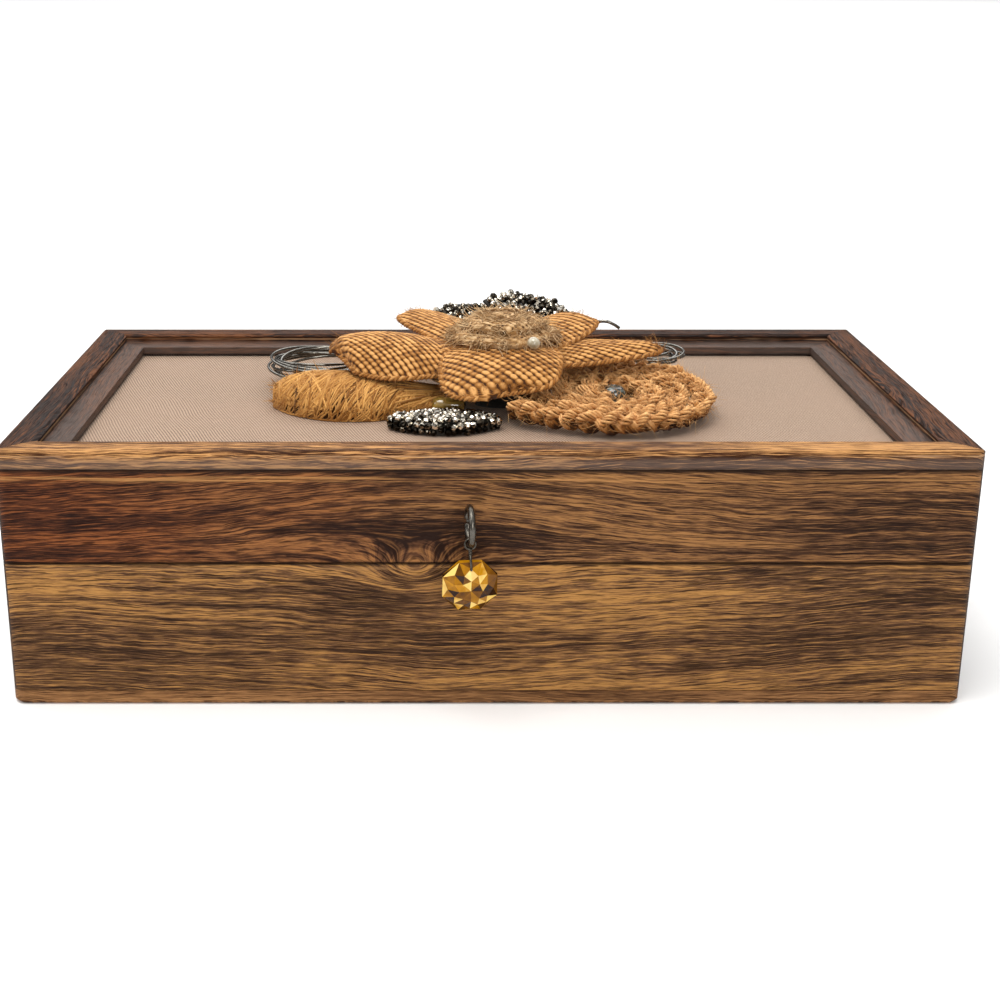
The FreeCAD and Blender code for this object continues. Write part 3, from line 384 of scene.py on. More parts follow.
for side, along, across, eye, seeds, figure in (
        ("back", ALONG_X, (0, -0.6, 1), (40, 0, 0), (11.0, 11.7), (6.0, 3.0)),
        ("left", ALONG_Y, (0.6, 0, 1), (20, -45, 0), (21.0, 21.0), (5.0, 0.0)),
        ("right", ALONG_Y, (0.6, 0, 1), (20, -45, 0), (31.0, 31.0), (5.0, 0.0))):
    for node, seed in zip(("lid_%s_rail" % side, "base_%s_panel" % side), seeds):
        wood = wood_material("wood_" + node, along, across, eye, seed, SIDE_TONES, figure, levels=shaded_seams)
        dress(node, wood)
print("boards dressed")

# %% [markdown]
# The frame's mouldings are lighter at the front, with strong dark lines, and darker at the sides and back.
# This is partly the wood and partly painted light and shade, as the light falls from above and the front.
# Their width is measured round the profile, up the face and then inwards over the top, so one line of
# grain does not jump where the face turns into the top.

# %% Frame mouldings
DARK_AND_SHADED_MOULDING_TONES = ("180a04", "3a2012", "694025")
# On each moulding: painted shade in the seam under it, a greyer band on its face, and a pale line in
# streaks at the top of its face, which is the painted highlight on that edge
frame_seams = ((UNDER_FRAME, 0.8, "1a0d06", 0.9), (67.3, 2.4, "6a5c55", 0.5),
               (FACE_TOP, 0.4, "cfa57c", 1.5))
# Light tones and strong pale streaks at the front, darker tones elsewhere: partly painted light and shade
for side, along, across, seed, tones, streaks in (
        ("front", ALONG_X, (0, 1, 1), 41.0, ("331807", "7d5232", "c8935a"), 0.9),
        ("back", ALONG_X, (0, -1, 1), 47.0, DARK_AND_SHADED_MOULDING_TONES, 0.35),
        ("left", ALONG_Y, (1, 0, 1), 53.0, DARK_AND_SHADED_MOULDING_TONES, 0.25),
        ("right", ALONG_Y, (-1, 0, 1), 59.0, DARK_AND_SHADED_MOULDING_TONES, 0.25)):
    wood = wood_material("wood_frame_" + side, along, across, (30, 0, 0), seed, tones, streaks=streaks,
                         contrast=2.4, levels=frame_seams, shine=0.1)
    dress("frame_%s_moulding" % side, wood)
for node, seed, tones, streaks in (("bottom_board", 67.0, ("38200e", "7c5534", "a7794c"), 0.6),
                                   ("panel_board", 71.0, ("5a3c25", "8d6a48", "b18d63"), 0.4)):
    wood = wood_material("wood_" + node, ALONG_X, (0, 1, 1), (60, 90, 0), seed, tones, streaks=streaks)
    dress(node, wood)

# %% [markdown]
# Soft and wound pieces are made from arrays of points with numpy, which is quick even for hundreds of
# threads. Every piece is given in millimetres, and hung on the lid or another body as it is made.


# %% Mesh helpers
def make_piece(name, points, faces, material, body="lid", nodes=(), slot=None, smooth=True, **values):
    """A mesh object from points in millimetres and arrays of faces. The values are kept for its material:
    one for each face, or for each point, or for each run of points that make up a thread."""
    points = np.asarray(points, np.float32) * MM
    sizes = np.concatenate([np.full(len(block), block.shape[1]) for block in faces])
    corners = np.concatenate([np.asarray(block).ravel() for block in faces]).astype(np.int32)
    mesh = bpy.data.meshes.new(name)
    mesh.vertices.add(len(points))
    mesh.vertices.foreach_set("co", points.ravel())
    mesh.loops.add(len(corners))
    mesh.loops.foreach_set("vertex_index", corners)
    mesh.polygons.add(len(sizes))
    mesh.polygons.foreach_set("loop_start", np.concatenate([[0], np.cumsum(sizes)[:-1]]).astype(np.int32))
    mesh.update(calc_edges=True)
    mesh.validate()
    mesh.polygons.foreach_set("use_smooth", np.full(len(mesh.polygons), smooth))
    for label, value in values.items():
        value = np.asarray(value, np.float32).ravel()
        domain = "FACE" if len(value) == len(sizes) else "POINT"
        if domain == "POINT":
            value = np.repeat(value, len(points) // len(value))
        mesh.attributes.new(label, "FLOAT", domain).data.foreach_set("value", value)
    mesh.materials.append(material)
    piece = new_object(name, mesh)
    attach(piece, body)
    if nodes:
        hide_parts(*nodes)
    return piece


def joined(parts):
    """Several (points, faces) as one."""
    points, faces, start = [], [], 0
    for some_points, some_faces in parts:
        points.append(some_points)
        faces += [block + start for block in some_faces]
        start += len(some_points)
    return np.concatenate(points), faces


def unit(vectors):
    return vectors / np.maximum(np.linalg.norm(vectors, axis=-1, keepdims=True), 1e-9)


def grid(rows, columns):
    """The row value and the column value at each place of a grid."""
    return np.meshgrid(rows, columns, indexing="ij")


def full_turn(steps):
    """The angles of a full turn in even steps."""
    return np.linspace(0, 2 * np.pi, steps, endpoint=False)


def circle(radius, angles, level=0.0):
    """Points round the upright axis."""
    return np.stack([radius * np.cos(angles), radius * np.sin(angles), level + 0 * angles], -1)


def skin(count, around, closed=False):
    """Four-sided faces between rows of points, count rows with so many points round each."""
    row, side = grid(np.arange(count if closed else count - 1), np.arange(around))
    after, beside = (row + 1) % count * around, (side + 1) % around
    row = row * around
    return np.stack([row + side, row + beside, after + beside, after + side], -1).reshape(-1, 4)


def loft(rings, closed_ends=True):
    """A skin over closed rings of equal length, shape (rings, points, 3)."""
    rings = np.asarray(rings, float)
    count, around = rings.shape[:2]
    faces = [skin(count, around)]
    if closed_ends:
        first = np.arange(around)[None]
        faces += [first[:, ::-1], first + (count - 1) * around]
    return rings.reshape(-1, 3), faces


def tubes(paths, radii, sides=6, reference=(0, 0, 1), closed=False):
    """Round threads along paths of shape (threads, points, 3); radii may differ for each point."""
    paths = np.asarray(paths, float)
    count, length = paths.shape[:2]
    radii = np.broadcast_to(np.asarray(radii, float), (count, length))
    if closed:
        ahead = np.roll(paths, -1, 1) - np.roll(paths, 1, 1)
    else:
        ahead = np.gradient(paths, axis=1)
    ahead = unit(ahead)
    aside = unit(np.cross(ahead, np.broadcast_to(np.asarray(reference, float), ahead.shape)))
    above = np.cross(aside, ahead)
    angles = np.arange(sides) * 2 * np.pi / sides
    ring = np.cos(angles)[:, None] * aside[:, :, None] + np.sin(angles)[:, None] * above[:, :, None]
    points = (paths[:, :, None] + ring * radii[..., None, None]).reshape(-1, 3)
    starts = np.arange(count)[:, None] * length * sides
    faces = [(skin(length, sides, closed)[None] + starts[:, None]).reshape(-1, 4)]
    if not closed:
        first = starts + np.arange(sides)
        faces += [first[:, ::-1], first + (length - 1) * sides]
    return points, faces


def smooth_share(stations, share):
    """A smooth curve through (place, value) stations."""
    places, values = (np.array(column, float) for column in zip(*stations))
    slopes = np.gradient(values, places)
    share = np.clip(share, places[0], places[-1])
    index = np.clip(np.searchsorted(places, share, "right") - 1, 0, len(places) - 2)
    span = places[index + 1] - places[index]
    t = (share - places[index]) / span
    return ((2 * t ** 3 - 3 * t ** 2 + 1) * values[index] + (t ** 3 - 2 * t ** 2 + t) * span * slopes[index]
            + (-2 * t ** 3 + 3 * t ** 2) * values[index + 1] + (t ** 3 - t ** 2) * span * slopes[index + 1])


def even_line(points, spacing):
    """The same line with evenly spaced, slightly smoothed points."""
    run = np.concatenate([[0], np.cumsum(np.linalg.norm(np.diff(points, axis=0), axis=1))])
    even = np.arange(0, run[-1], spacing)
    line = np.stack([np.interp(even, run, points[:, k]) for k in range(3)], -1)
    for _ in range(6):
        line[1:-1] = (line[:-2] + line[1:-1] * 2 + line[2:]) / 4
    return line, even


def heading(angle):
    """Unit vectors along and across a heading in the level plane."""
    a = math.radians(angle)
    return np.array([math.cos(a), math.sin(a), 0]), np.array([-math.sin(a), math.cos(a), 0])


def turned_about(axis, angle, vectors):
    """Vectors turned about a unit axis by an angle in radians; the angle may be an array."""
    c, s = np.cos(angle)[..., None], np.sin(angle)[..., None]
    return vectors * c + np.cross(axis, vectors) * s + axis * (vectors @ axis)[..., None] * (1 - c)


LINEN_TOP = 65.1
UP = np.array([0.0, 0.0, 1.0])
FLOWER = np.array([6.0, -1.0, LINEN_TOP])
random = np.random.RandomState(12)

# %% [markdown]
# The panel is a thin board wrapped in beige linen twill. The cloth is a sheet that lies on the board and
# turns down at its edges. Its threads are finer than a pixel of the photograph, and only the diagonal
# ribs show, so they are drawn by a weave group in the shader and not in the mesh. The light and shade
# on the ribs are painted: the warp floats lighter and the weft darker.


# %% Weave group
weave_group, given_weave, made_weave = new_group(
    "Twill Threads", {"Vector": (0, 0, 0), "Pitch": 0.28, "Repeat": 3.0}, ("Height", "Warp"))


def draw_weave(tree):
    u, v = (part / given_weave["Pitch"] for part in split(given_weave["Vector"])[:2])
    heights = []
    for here, there, sign in ((u, v, 0.5), (v, u, -0.5)):
        off = maths("FRACT", here) - 0.5
        round_side = maths("SQRT", maths("MAXIMUM", off * off * -4.0 + 1.0, 0.0))
        turn = (there + maths("FLOOR", here)) / given_weave["Repeat"]
        heights.append(maths("COSINE", turn * (2 * math.pi)) * sign + round_side)
    join(tree, made_weave["Height"], maths("MAXIMUM", *heights))
    join(tree, made_weave["Warp"], band(heights[0] - heights[1], -0.3, 0.3))


draw_weave(weave_group)


# %% Linen
def linen_material():
    material = new_material("linen", Roughness=0.9, Sheen_Weight=0.15)
    here = place_mm(material)
    wander = noise(here, 0.05, 1)
    cloth = scaled(here, (1, 0.36, 1), merge(wander, wander, 0.0))
    weave = use_group(material.node_tree, weave_group, Vector=cloth)
    # Painted light and shade of the ribs: warp on top is painted light, weft on top dark
    shade = mixed(weave["Warp"], colour("644b37"), colour("c2a48a"))
    for value, low, high, share, tone in ((noise(here, (0.3, 2.6, 1), 3), 0.35, 0.7, 0.3, "8d7159"),
                                          (noise(here, 1.6, 3, 0.7), 0.45, 0.75, 0.35, "d2b89d"),
                                          (noise(here, 0.03), 0.3, 0.7, 0.3, "a98a73")):
        shade = mixed(band(value, low, high, 0.0, share), shade, colour(tone))
    paint(material, Base_Color=shade)
    bump(material, weave["Height"], 0.2)
    return material


def make_linen():
    half_x, half_y, fold = 121.6, 67.1, 3.4
    x, y = grid(np.linspace(-half_x - fold, half_x + fold, 181),
                np.linspace(-half_y - fold, half_y + fold, 105))
    over = np.maximum(np.maximum(np.abs(x) - half_x, 0), np.maximum(np.abs(y) - half_y, 0))
    ripple = 0.03 * np.sin(x / 17 + 2 * np.sin(y / 23)) * np.sin(y / 13 + 1)
    crown = 0.12 * (1 - (x / half_x) ** 2) * (1 - (y / half_y) ** 2)
    points = np.stack([np.clip(x, -half_x, half_x), np.clip(y, -half_y, half_y),
                       LINEN_TOP - 0.05 + crown + ripple - over], -1)
    rows, row = x.shape
    i, j = grid(np.arange(rows - 1), np.arange(row - 1))
    start = i * row + j
    faces = np.stack([start, start + row, start + row + 1, start + 1], -1).reshape(-1, 4)
    linen = make_piece("linen", points.reshape(-1, 3), [faces], linen_material(), nodes=["linen_cover"],
                       slot="linen")


make_linen()

# %% [markdown]
# Burlap is a coarse weave of jute, and its threads are large enough to see one by one. Here the weft is
# thick and surfaces as long slanted stitches, with dark gaps between. Each petal is a folded piece of
# it, arched along its length and broad where it is sewn on. The petal is lofted as a flattened tube, and
# each of its points is then moved out by the height of the weave there, so the stitches stand up in the
# mesh itself and catch the light at the petal's edge. The weave's height is also kept with the points,
# and the material uses it to paint shade into the gaps and light onto the crests of the stitches.


# %% Jute material
def kept_value(material, label):
    """A value that comes with the mesh."""
    return add(material.node_tree, "Attribute", output="Fac", attribute_name=label)


def jute_material(name, tones, levels=(0.2, 0.55, 1.0)):
    """Golden plant fibre, painted dark as shade between the threads and light on their crests; depth
    and tone come with the mesh.
    """
    material = new_material(name, Roughness=0.85, Sheen_Weight=0.08, Specular_IOR_Level=0.2)
    here = place_mm(material)
    hair = noise(here, 2.6, 4, 0.7)
    level = kept_value(material, "depth")
    for value, share in ((hair, 0.5), (kept_value(material, "tone"), 0.35), (noise(here, 0.12), 0.4)):
        level = level + (value - 0.5) * share
    # The ramp paints shade at low depth and a highlight at the top of each thread
    paint(material, Base_Color=ramp(level, list(zip(levels, tones))))
    bump(material, hair, 0.10, 0.8)
    return material


burlap = jute_material("burlap", ("40220a", "96622b", "d8a262"), levels=(0.25, 0.7, 1.1))
frayed_burlap = jute_material("frayed_burlap", ("4a3018", "a07849", "d8b88c"))
jute = jute_material("jute", ("3d2108", "a46c34", "e6b478"))
golden_jute = jute_material("golden_jute", ("442608", "98642a", "d29e58"))


# %% Weave in the mesh
def thread_tone(number):
    """A steady random tone for each thread number."""
    return np.modf(np.abs(np.sin(number * 12.9898) * 43758.5453))[0]


def stitch_weave(u, v, length, pitch, slant=0.18):
    """Height from 0 to 1 of a weave whose threads surface as long slanted stitches along u, and a tone
    for each stitch. Every stitch is a tilted oval that lies a little loose in its row, and neighbouring
    rows are half a stitch apart."""
    height, number = np.zeros_like(u), np.zeros_like(u)
    row_here = np.floor(v / pitch)
    for row in (row_here - 1, row_here, row_here + 1):
        place = u / length - row / 2
        for stitch in (np.floor(place), np.floor(place) + 1):
            du = (place - stitch) * length
            its_number = row * 7.13 + stitch * 3.71
            loose = thread_tone(its_number) - 0.5
            dv = v - (row + 0.5 + 0.25 * loose) * pitch + (slant + 0.12 * loose) * du
            oval = 1 - (du / (0.47 * length)) ** 2 - (dv / (0.77 * pitch)) ** 2
            rise = np.sqrt(np.clip(oval, 0, 1))
            number = np.where(rise > height, its_number, number)
            height = np.maximum(height, rise)
    return height, thread_tone(number)


# Width along each petal as shares of its greatest width
BROAD = ((0, 0.72), (0.2, 0.82), (0.4, 0.94), (0.6, 1), (0.74, 0.97), (0.86, 0.86), (0.95, 0.7), (1, 0.5))
SQUARE = ((0, 0.8), (0.2, 0.92), (0.4, 1), (0.6, 1), (0.76, 0.97), (0.88, 0.88), (0.96, 0.72), (1, 0.55))
POINTED = ((0, 1.2), (0.15, 1.22), (0.3, 1.15), (0.45, 1.02), (0.6, 0.84), (0.75, 0.66), (0.9, 0.5),
           (1, 0.3))
STUB = ((0, 1.1), (0.2, 1.12), (0.4, 1.1), (0.6, 1.05), (0.76, 0.98), (0.88, 0.84), (0.96, 0.62), (1, 0.4))
# Heading, tier, then shares of length, width, rise, crown and roll, outline, the tip's shear and the
# root's lean to one side in millimetres, the heading of the stitches and how far out they turn back
PETALS = {
    "petal_left": (184, 0.5, 0.99, 0.86, 0.1, 0.9, 0.7, BROAD, 2.6, 6.5, -16, 14.0),
    "petal_right": (5, 0.4, 0.93, 0.62, 0.25, 0.45, -0.35, POINTED, 2.0, 1.5, 20, 0.0),
    "petal_back_right": (42, 1.5, 0.56, 0.76, 0.7, 0.4, 0.3, SQUARE, 2.0, -1.0, -14, 0.0),
    "petal_back_left": (131, 2.05, 0.8, 0.7, 0.4, 0.4, -0.4, STUB, 0.0, 0.0, -16, 0.0),
    "petal_front": (266, 2.4, 0.54, 1.03, -1.25, 0.4, -0.2, SQUARE, 3.0, 0.0, -6, 0.0),
}
PETAL_LENGTH, PETAL_WIDTH, PETAL_THICKNESS, PETAL_RISE = 44.0, 33.0, 1.5, 7.0
PETAL_ROOT, FIRST_TIER, TIER_STEP, PETAL_CROWN, PETAL_ROLL = 5.0, 13.4, 2.0, 6.5, 20.0
STITCH_LENGTH, STITCH_PITCH, WEAVE_RELIEF, MESH_STEP = 2.9, 1.0, 0.45, 0.19


def petal_surface(name, share, around):
    """Points, outward normals and flat cloth coordinates of a petal at shares along and angles round it."""
    turn, tier, length, width, rise, crown, roll, outline, shear, lean = PETALS[name][:10]
    along, across = heading(turn)
    length = PETAL_LENGTH * length
    tip = np.sqrt(np.clip(1 - ((share - 0.93) / 0.075) ** 2, 0.0, 1)) * (share > 0.93) + (share <= 0.93)
    profile = smooth_share(outline, share) * tip
    half = PETAL_WIDTH * width * profile / 2
    t = np.sign(np.cos(around)) * np.abs(np.cos(around)) ** 0.8
    reach = PETAL_ROOT + length * share - shear * t * share ** 2
    level = FIRST_TIER + TIER_STEP * tier + PETAL_RISE * rise * share ** 2
    centre = FLOWER + along * reach[..., None] + UP * level[..., None]
    tilt = -np.radians(PETAL_ROLL * roll) * np.sin(np.pi / 2 * share)
    aside, above = (turned_about(along, tilt, np.broadcast_to(way, centre.shape)) for way in (across, UP))
    arch = PETAL_CROWN * crown * profile * np.sin(np.pi / 2 * np.minimum(1, 2 * share))
    face = np.abs(np.sin(around)) ** 0.45 * np.sign(np.sin(around))
    lift = arch * (1 - t ** 2) + PETAL_THICKNESS / 2 * (face - 1)
    points = centre + aside * (t * half + lean * (1 - share) ** 2)[..., None] + above * lift[..., None]
    slope = -2 * arch * t / np.maximum(half, 1.0)
    flat_normal = unit(above - aside * slope[..., None])
    edge = unit(aside * np.sign(t)[..., None])
    side_share = np.abs(t)[..., None] ** 8
    outward = flat_normal * np.sign(np.sin(around) + 1e-9)[..., None]
    normal = unit(outward * (1 - side_share) + edge * side_share)
    return points, normal, length * share, t * half


def make_petal(name):
    turn, _, length, width = PETALS[name][:4]
    stitch_turn, fold = PETALS[name][10:]
    length, width = PETAL_LENGTH * length, PETAL_WIDTH * width
    steps, sides = int(length / MESH_STEP), 2 * int(width / MESH_STEP)
    share, around = grid(np.linspace(0, 1, steps), np.arange(sides) * 2 * np.pi / sides)
    points, normal, run, aside = petal_surface(name, share, around)
    if fold:
        run = np.abs(run - fold)
    # The cloth is a little crooked: slow waves keep its threads from being ruled lines
    bend = 0.6 * np.sin(run / 7 + aside / 9) + 0.4 * np.sin(aside / 4 - run / 11)
    way = math.radians(stitch_turn - turn)
    u = run * math.cos(way) + aside * math.sin(way) + bend
    v = aside * math.cos(way) - run * math.sin(way) - bend * 0.7
    height, tone = stitch_weave(u, v, STITCH_LENGTH, STITCH_PITCH)
    points = points + normal * (WEAVE_RELIEF * (height - 0.75))[..., None]
    piece = make_piece("burlap_" + name, *loft(points), burlap, nodes=[name], slot="burlap", depth=height,
                       tone=tone)


for petal_name in PETALS:
    make_petal(petal_name)
print("petals woven")


# %% [markdown]
# The edge of each petal is turned under and oversewn, which shows as a twisted cord round it. Two
# threads wind round each other along the edge.

# %% Petal hems
def make_hems():
    twist_pitch, apart, thread = 2.6, 0.38, 0.42
    parts, tones = [], []
    for name in PETALS:
        edge = [petal_surface(name, np.linspace(0.06, 0.985, 160)[::order], np.full(160, side))[0]
                for side, order in ((0.0, 1), (np.pi, -1))]
        line, run = even_line(np.concatenate(edge), 0.25)
        ahead = unit(np.gradient(line, axis=0))
        aside = unit(np.cross(ahead, UP))
        above = np.cross(aside, ahead)
        for phase in (0, np.pi):
            turn = 2 * np.pi * run / twist_pitch + phase
            path = line + (aside * np.cos(turn)[:, None] + above * np.sin(turn)[:, None]) * apart
            parts.append(tubes(path[None], thread + 0.05 * np.sin(run / 3)[None]))
            tones.append(0.5 + 0.4 * np.sin(run / 5 + phase))
    make_piece("burlap_hems", *joined(parts), burlap, slot="burlap", depth=0.75, tone=np.concatenate(tones))


# %% [markdown]
# Jute sheds. Short loose fibres stand off every edge of the burlap. They are thin tapering tubes with a
# random curl, started on the petals' edges.


# %% Loose fibres
def curled_fibres(starts, ways, lengths, radius, curl=0.5, steps=6):
    """Tapering hairs from start points along rough directions."""
    count = len(starts)
    share = np.linspace(0, 1, steps)
    bend = random.normal(0, curl, (count, 1, 3))
    wobble = random.normal(0, curl * 0.3, (count, 1, 3))
    path = starts[:, None] + (share[None, :, None] * lengths[:, None, None]) * (
        unit(ways)[:, None] + bend * share[None, :, None] + wobble * np.sin(share * 5)[None, :, None])
    return tubes(path, radius * (1 - 0.75 * share)[None], 3, (0.31, 0.52, 0.8))


def petal_fibres():
    parts, count = [], 260
    for name in PETALS:
        share = random.uniform(0.1, 1, count)
        edge = random.choice([0, np.pi], count) + random.normal(0, 0.12, count)
        tips = random.rand(count) < 0.25
        share[tips] = random.uniform(0.96, 1, tips.sum())
        edge[tips] = random.uniform(0, np.pi, tips.sum())
        points, normal, _, _ = petal_surface(name, share, edge)
        ways = normal + random.normal(0, 0.5, normal.shape) + heading(PETALS[name][0])[0] * 0.3
        parts.append(curled_fibres(points, ways, random.uniform(0.8, 2.6, count), 0.07, 0.6))
    make_piece("petal_loose_fibres", *joined(parts), burlap, slot="burlap", depth=0.7,
               tone=random.rand(count * len(PETALS) + 1)[:-1])


make_hems()
petal_fibres()

# %% [markdown]
# The flower's middle is a strip of burlap rolled up and frayed. Two domed rounds give its body, and
# several hundred short threads lie on them every way, longest at the rim.


# %% Frayed centre
def lobed_dome(radius, low, high, seed):
    angles = full_turn(120)
    ruffle = 1 + np.cos(5 * angles) / 24 + 0.02 * np.sin(13 * angles + seed)
    rings = []
    for share in np.linspace(0, 1, 26):
        reach = radius * math.cos(share * math.pi / 2) ** 0.5 if share < 1 else 0.02
        wave = 0.35 * np.sin(9 * angles + seed) * (1 - share)
        level = low + (high - low) * math.sin(share * math.pi / 2)
        rings.append(FLOWER + circle(reach * ruffle, angles, level + wave))
    under = np.array(rings[0])
    under[:, 2] = LINEN_TOP + low - 0.8
    return np.array([under] + rings)


def make_centre():
    for name, radius, low, high, seed in (("centre_lower", 15.4, 19.9, 22.6, 0.0),
                                          ("centre_upper", 11.6, 22.4, 25.6, 2.0)):
        points, faces = loft(lobed_dome(radius, low, high, seed))
        x, y, _ = (points - FLOWER).T
        height, tone = stitch_weave(x + y * 0.2, y - x * 0.2, 2.4, 1.1)
        # The weave's height paints shade into its gaps and light onto its crests
        make_piece("frayed_" + name, points + UP * (height * 0.35)[:, None], faces, frayed_burlap,
                   nodes=[name], slot="frayed_burlap", depth=height * 0.8 + 0.1, tone=tone)
    parts = []
    for radius, level, count, length in ((15.4, 20.2, 620, 5.0), (11.6, 23.0, 520, 5.0),
                                         (7.5, 25.2, 260, 4.0)):
        angle = random.uniform(0, 2 * np.pi, count)
        reach = radius * np.sqrt(random.uniform(0.35, 1.02, count))
        out, round_way = circle(1, angle), circle(1, angle + np.pi / 2)
        top = level + 2.2 * (1 - (reach / radius) ** 2) + 0.3
        starts = FLOWER + out * reach[:, None] + UP * top[:, None]
        ways = out * random.normal(0.35, 0.5, count)[:, None]
        ways = ways + round_way * random.choice([-1, 1], count)[:, None]
        ways = ways + UP * random.normal(0.12, 0.12, count)[:, None]
        parts.append(curled_fibres(starts, ways, random.uniform(0.5, 1.1, count) * length, 0.2, 0.25, 7))
    for radius, level, count in ((16.0, 20.6, 420), (11.8, 23.4, 260)):
        angle = random.uniform(0, 2 * np.pi, count)
        out, round_way = circle(1, angle), circle(1, angle + np.pi / 2)
        starts = FLOWER + out * (radius * random.uniform(0.86, 1.0, count))[:, None] + UP * level
        starts = starts + UP * random.uniform(-0.3, 0.9, count)[:, None]
        ways = out * 0.8 + round_way * random.normal(0, 0.9, count)[:, None] - UP * 0.75
        parts.append(curled_fibres(starts, ways, random.uniform(1.8, 4.2, count), 0.2, 0.25, 7))
    points, faces = joined(parts)
    threads = len(points) // 21
    make_piece("frayed_threads", points, faces, frayed_burlap, slot="frayed_burlap",
               depth=random.uniform(0.35, 1.05, threads + 1)[:-1], tone=random.rand(threads + 1)[:-1])


make_centre()

# %% [markdown]
# Under the petals sits a stub of dark felt with a disc on it that everything is sewn to. Only a little of
# it shows in the shadow below the front petal. The disc is made wide, so that its dark felt also stands
# in for the shade under the petals.


# %% Felt hub
def make_hub():
    felt, fuzz = speckled("felt", ((0.3, "12110d"), (0.75, "34322a")), 1.8, 5, 0.8, Roughness=1.0,
                          Sheen_Weight=0.3)
    bump(felt, fuzz, 0.3)
    angles, rings = full_turn(64), []
    for share in np.linspace(0, 0.5, 8):
        reach = 9.6 - 1.6 * share + 0.25 * np.sin(share * 25)
        uneven = 1 + 0.02 * np.sin(5 * angles + share * 9)
        rings.append(circle(reach * uneven, angles, 0.2 + share * 11.2))
    # The disc reaches further out on the left, below the left petal, as a dark sheet standing in for the
    # shade there
    rim = 1 + 0.015 * np.sin(7 * angles) + 0.4 * np.clip(-np.cos(angles + 0.35), 0, 1) ** 4
    rings += [circle(reach * rim, angles, level)
              for reach, level in ((15.5, 6.0), (16.6, 7.2), (16.6, 11.4), (10.0, 12.2))]
    piece = make_piece("felt_hub", *loft(FLOWER + np.array(rings)), felt, nodes=["flower_hub"], slot="felt")


make_hub()

# %% [markdown]
# The leaf at the left is a stuffed pad wrapped in loose jute. A smooth crowned body gives the shape, and
# several hundred strands are laid over it at a slant, each following the body's surface.

# %% Leaf pad
PAD_OUTLINE = ((0, 0.42), (0.1, 0.5), (0.24, 0.7), (0.4, 0.92), (0.56, 1), (0.7, 0.98), (0.84, 0.84),
               (0.94, 0.6), (1, 0.34))
PAD_START = FLOWER + np.array([-18.0, -9.0, 0])
PAD_LENGTH, PAD_HALF_WIDTH = 49.0, 15.0


def pad_point(share, t, raised=0.0):
    """A point on the pad's top at a share of its length and t from side to side, -1 to 1."""
    outline = smooth_share(PAD_OUTLINE, share)
    across = np.clip(t, -1, 1)
    lift = 0.3 + 2.45 * (1 + outline) + 4.8 * outline * (1 - across ** 2) - 1.6 * np.abs(across) ** 6
    lift = lift - np.maximum(np.abs(t) - 1, 0) * 10 + raised
    back = 5.5 * share ** 2 - 2.0 * np.sin(np.pi * share)
    return PAD_START + np.stack([-PAD_LENGTH * share, back - across * PAD_HALF_WIDTH * outline,
                                 np.maximum(lift, 0.4)], -1)


def pad_body():
    share, around = grid(np.linspace(0, 1, 60), full_turn(96))
    top = pad_point(share, np.sign(np.cos(around)) * np.abs(np.cos(around)) ** 0.85 * 0.93)
    foot, crest = LINEN_TOP + 0.3, top[..., 2] - 0.4
    belly = foot + (crest - foot) * np.clip(np.sin(around) * 3 + 0.5, 0, 1)
    top[..., 2] = np.where(np.sin(around) >= 0.17, crest, belly)
    # The body is painted at a low depth, dark as the shade between the strands
    body = make_piece("jute_leaf", *loft(top), golden_jute, nodes=["leaf_pad"], slot="burlap", depth=0.25,
                      tone=0.4)


def pad_strands():
    count, root, steps = 640, 110, 18
    first = np.sort(random.uniform(-0.02, 1.0, count))[:, None]
    slant = random.normal(0.12, 0.1, count)[:, None]
    run = np.linspace(0, 1, steps)[None]
    reach = random.uniform(0.3, 1.3, count)[:, None]
    middle = random.normal(0.2, 0.35, count)[:, None]
    t = middle + (run - 0.5) * 2 * reach
    along = first + slant * t + random.normal(0, 0.012, count)[:, None] * np.sin(run * 7 + first * 50)
    paths = pad_point(np.clip(along, 0, 1), t, random.uniform(-0.2, 0.6, count)[:, None])
    radius = random.uniform(0.2, 0.42, count)[:, None] * (1 - 0.6 * (2 * run - 1) ** 4)
    threads = tubes(paths, radius, 5, (1, 0.1, 0.2))
    # At the root the strands are drawn together lengthwise
    t = random.uniform(-1.15, 1.15, root)[:, None]
    out = random.uniform(0.12, 0.3, root)[:, None]
    paths = pad_point(out * run - 0.02, t * (0.75 + 0.25 * run), random.uniform(0.2, 0.9, root)[:, None])
    threads = joined([threads, tubes(paths, random.uniform(0.22, 0.4, root)[:, None], 5, (0, 1, 0.2))])
    # Strands reaching out over the pad's sides are painted darker, as the shade near the cloth
    low = np.clip(np.concatenate([np.abs(middle) + 0.5 * reach, np.abs(t)])[:, 0] - 0.8, 0, 1) * 0.35
    make_piece("jute_leaf_strands", *threads, golden_jute, slot="burlap",
               depth=random.uniform(0.5, 1.0, count + root) - low, tone=random.rand(count + root))


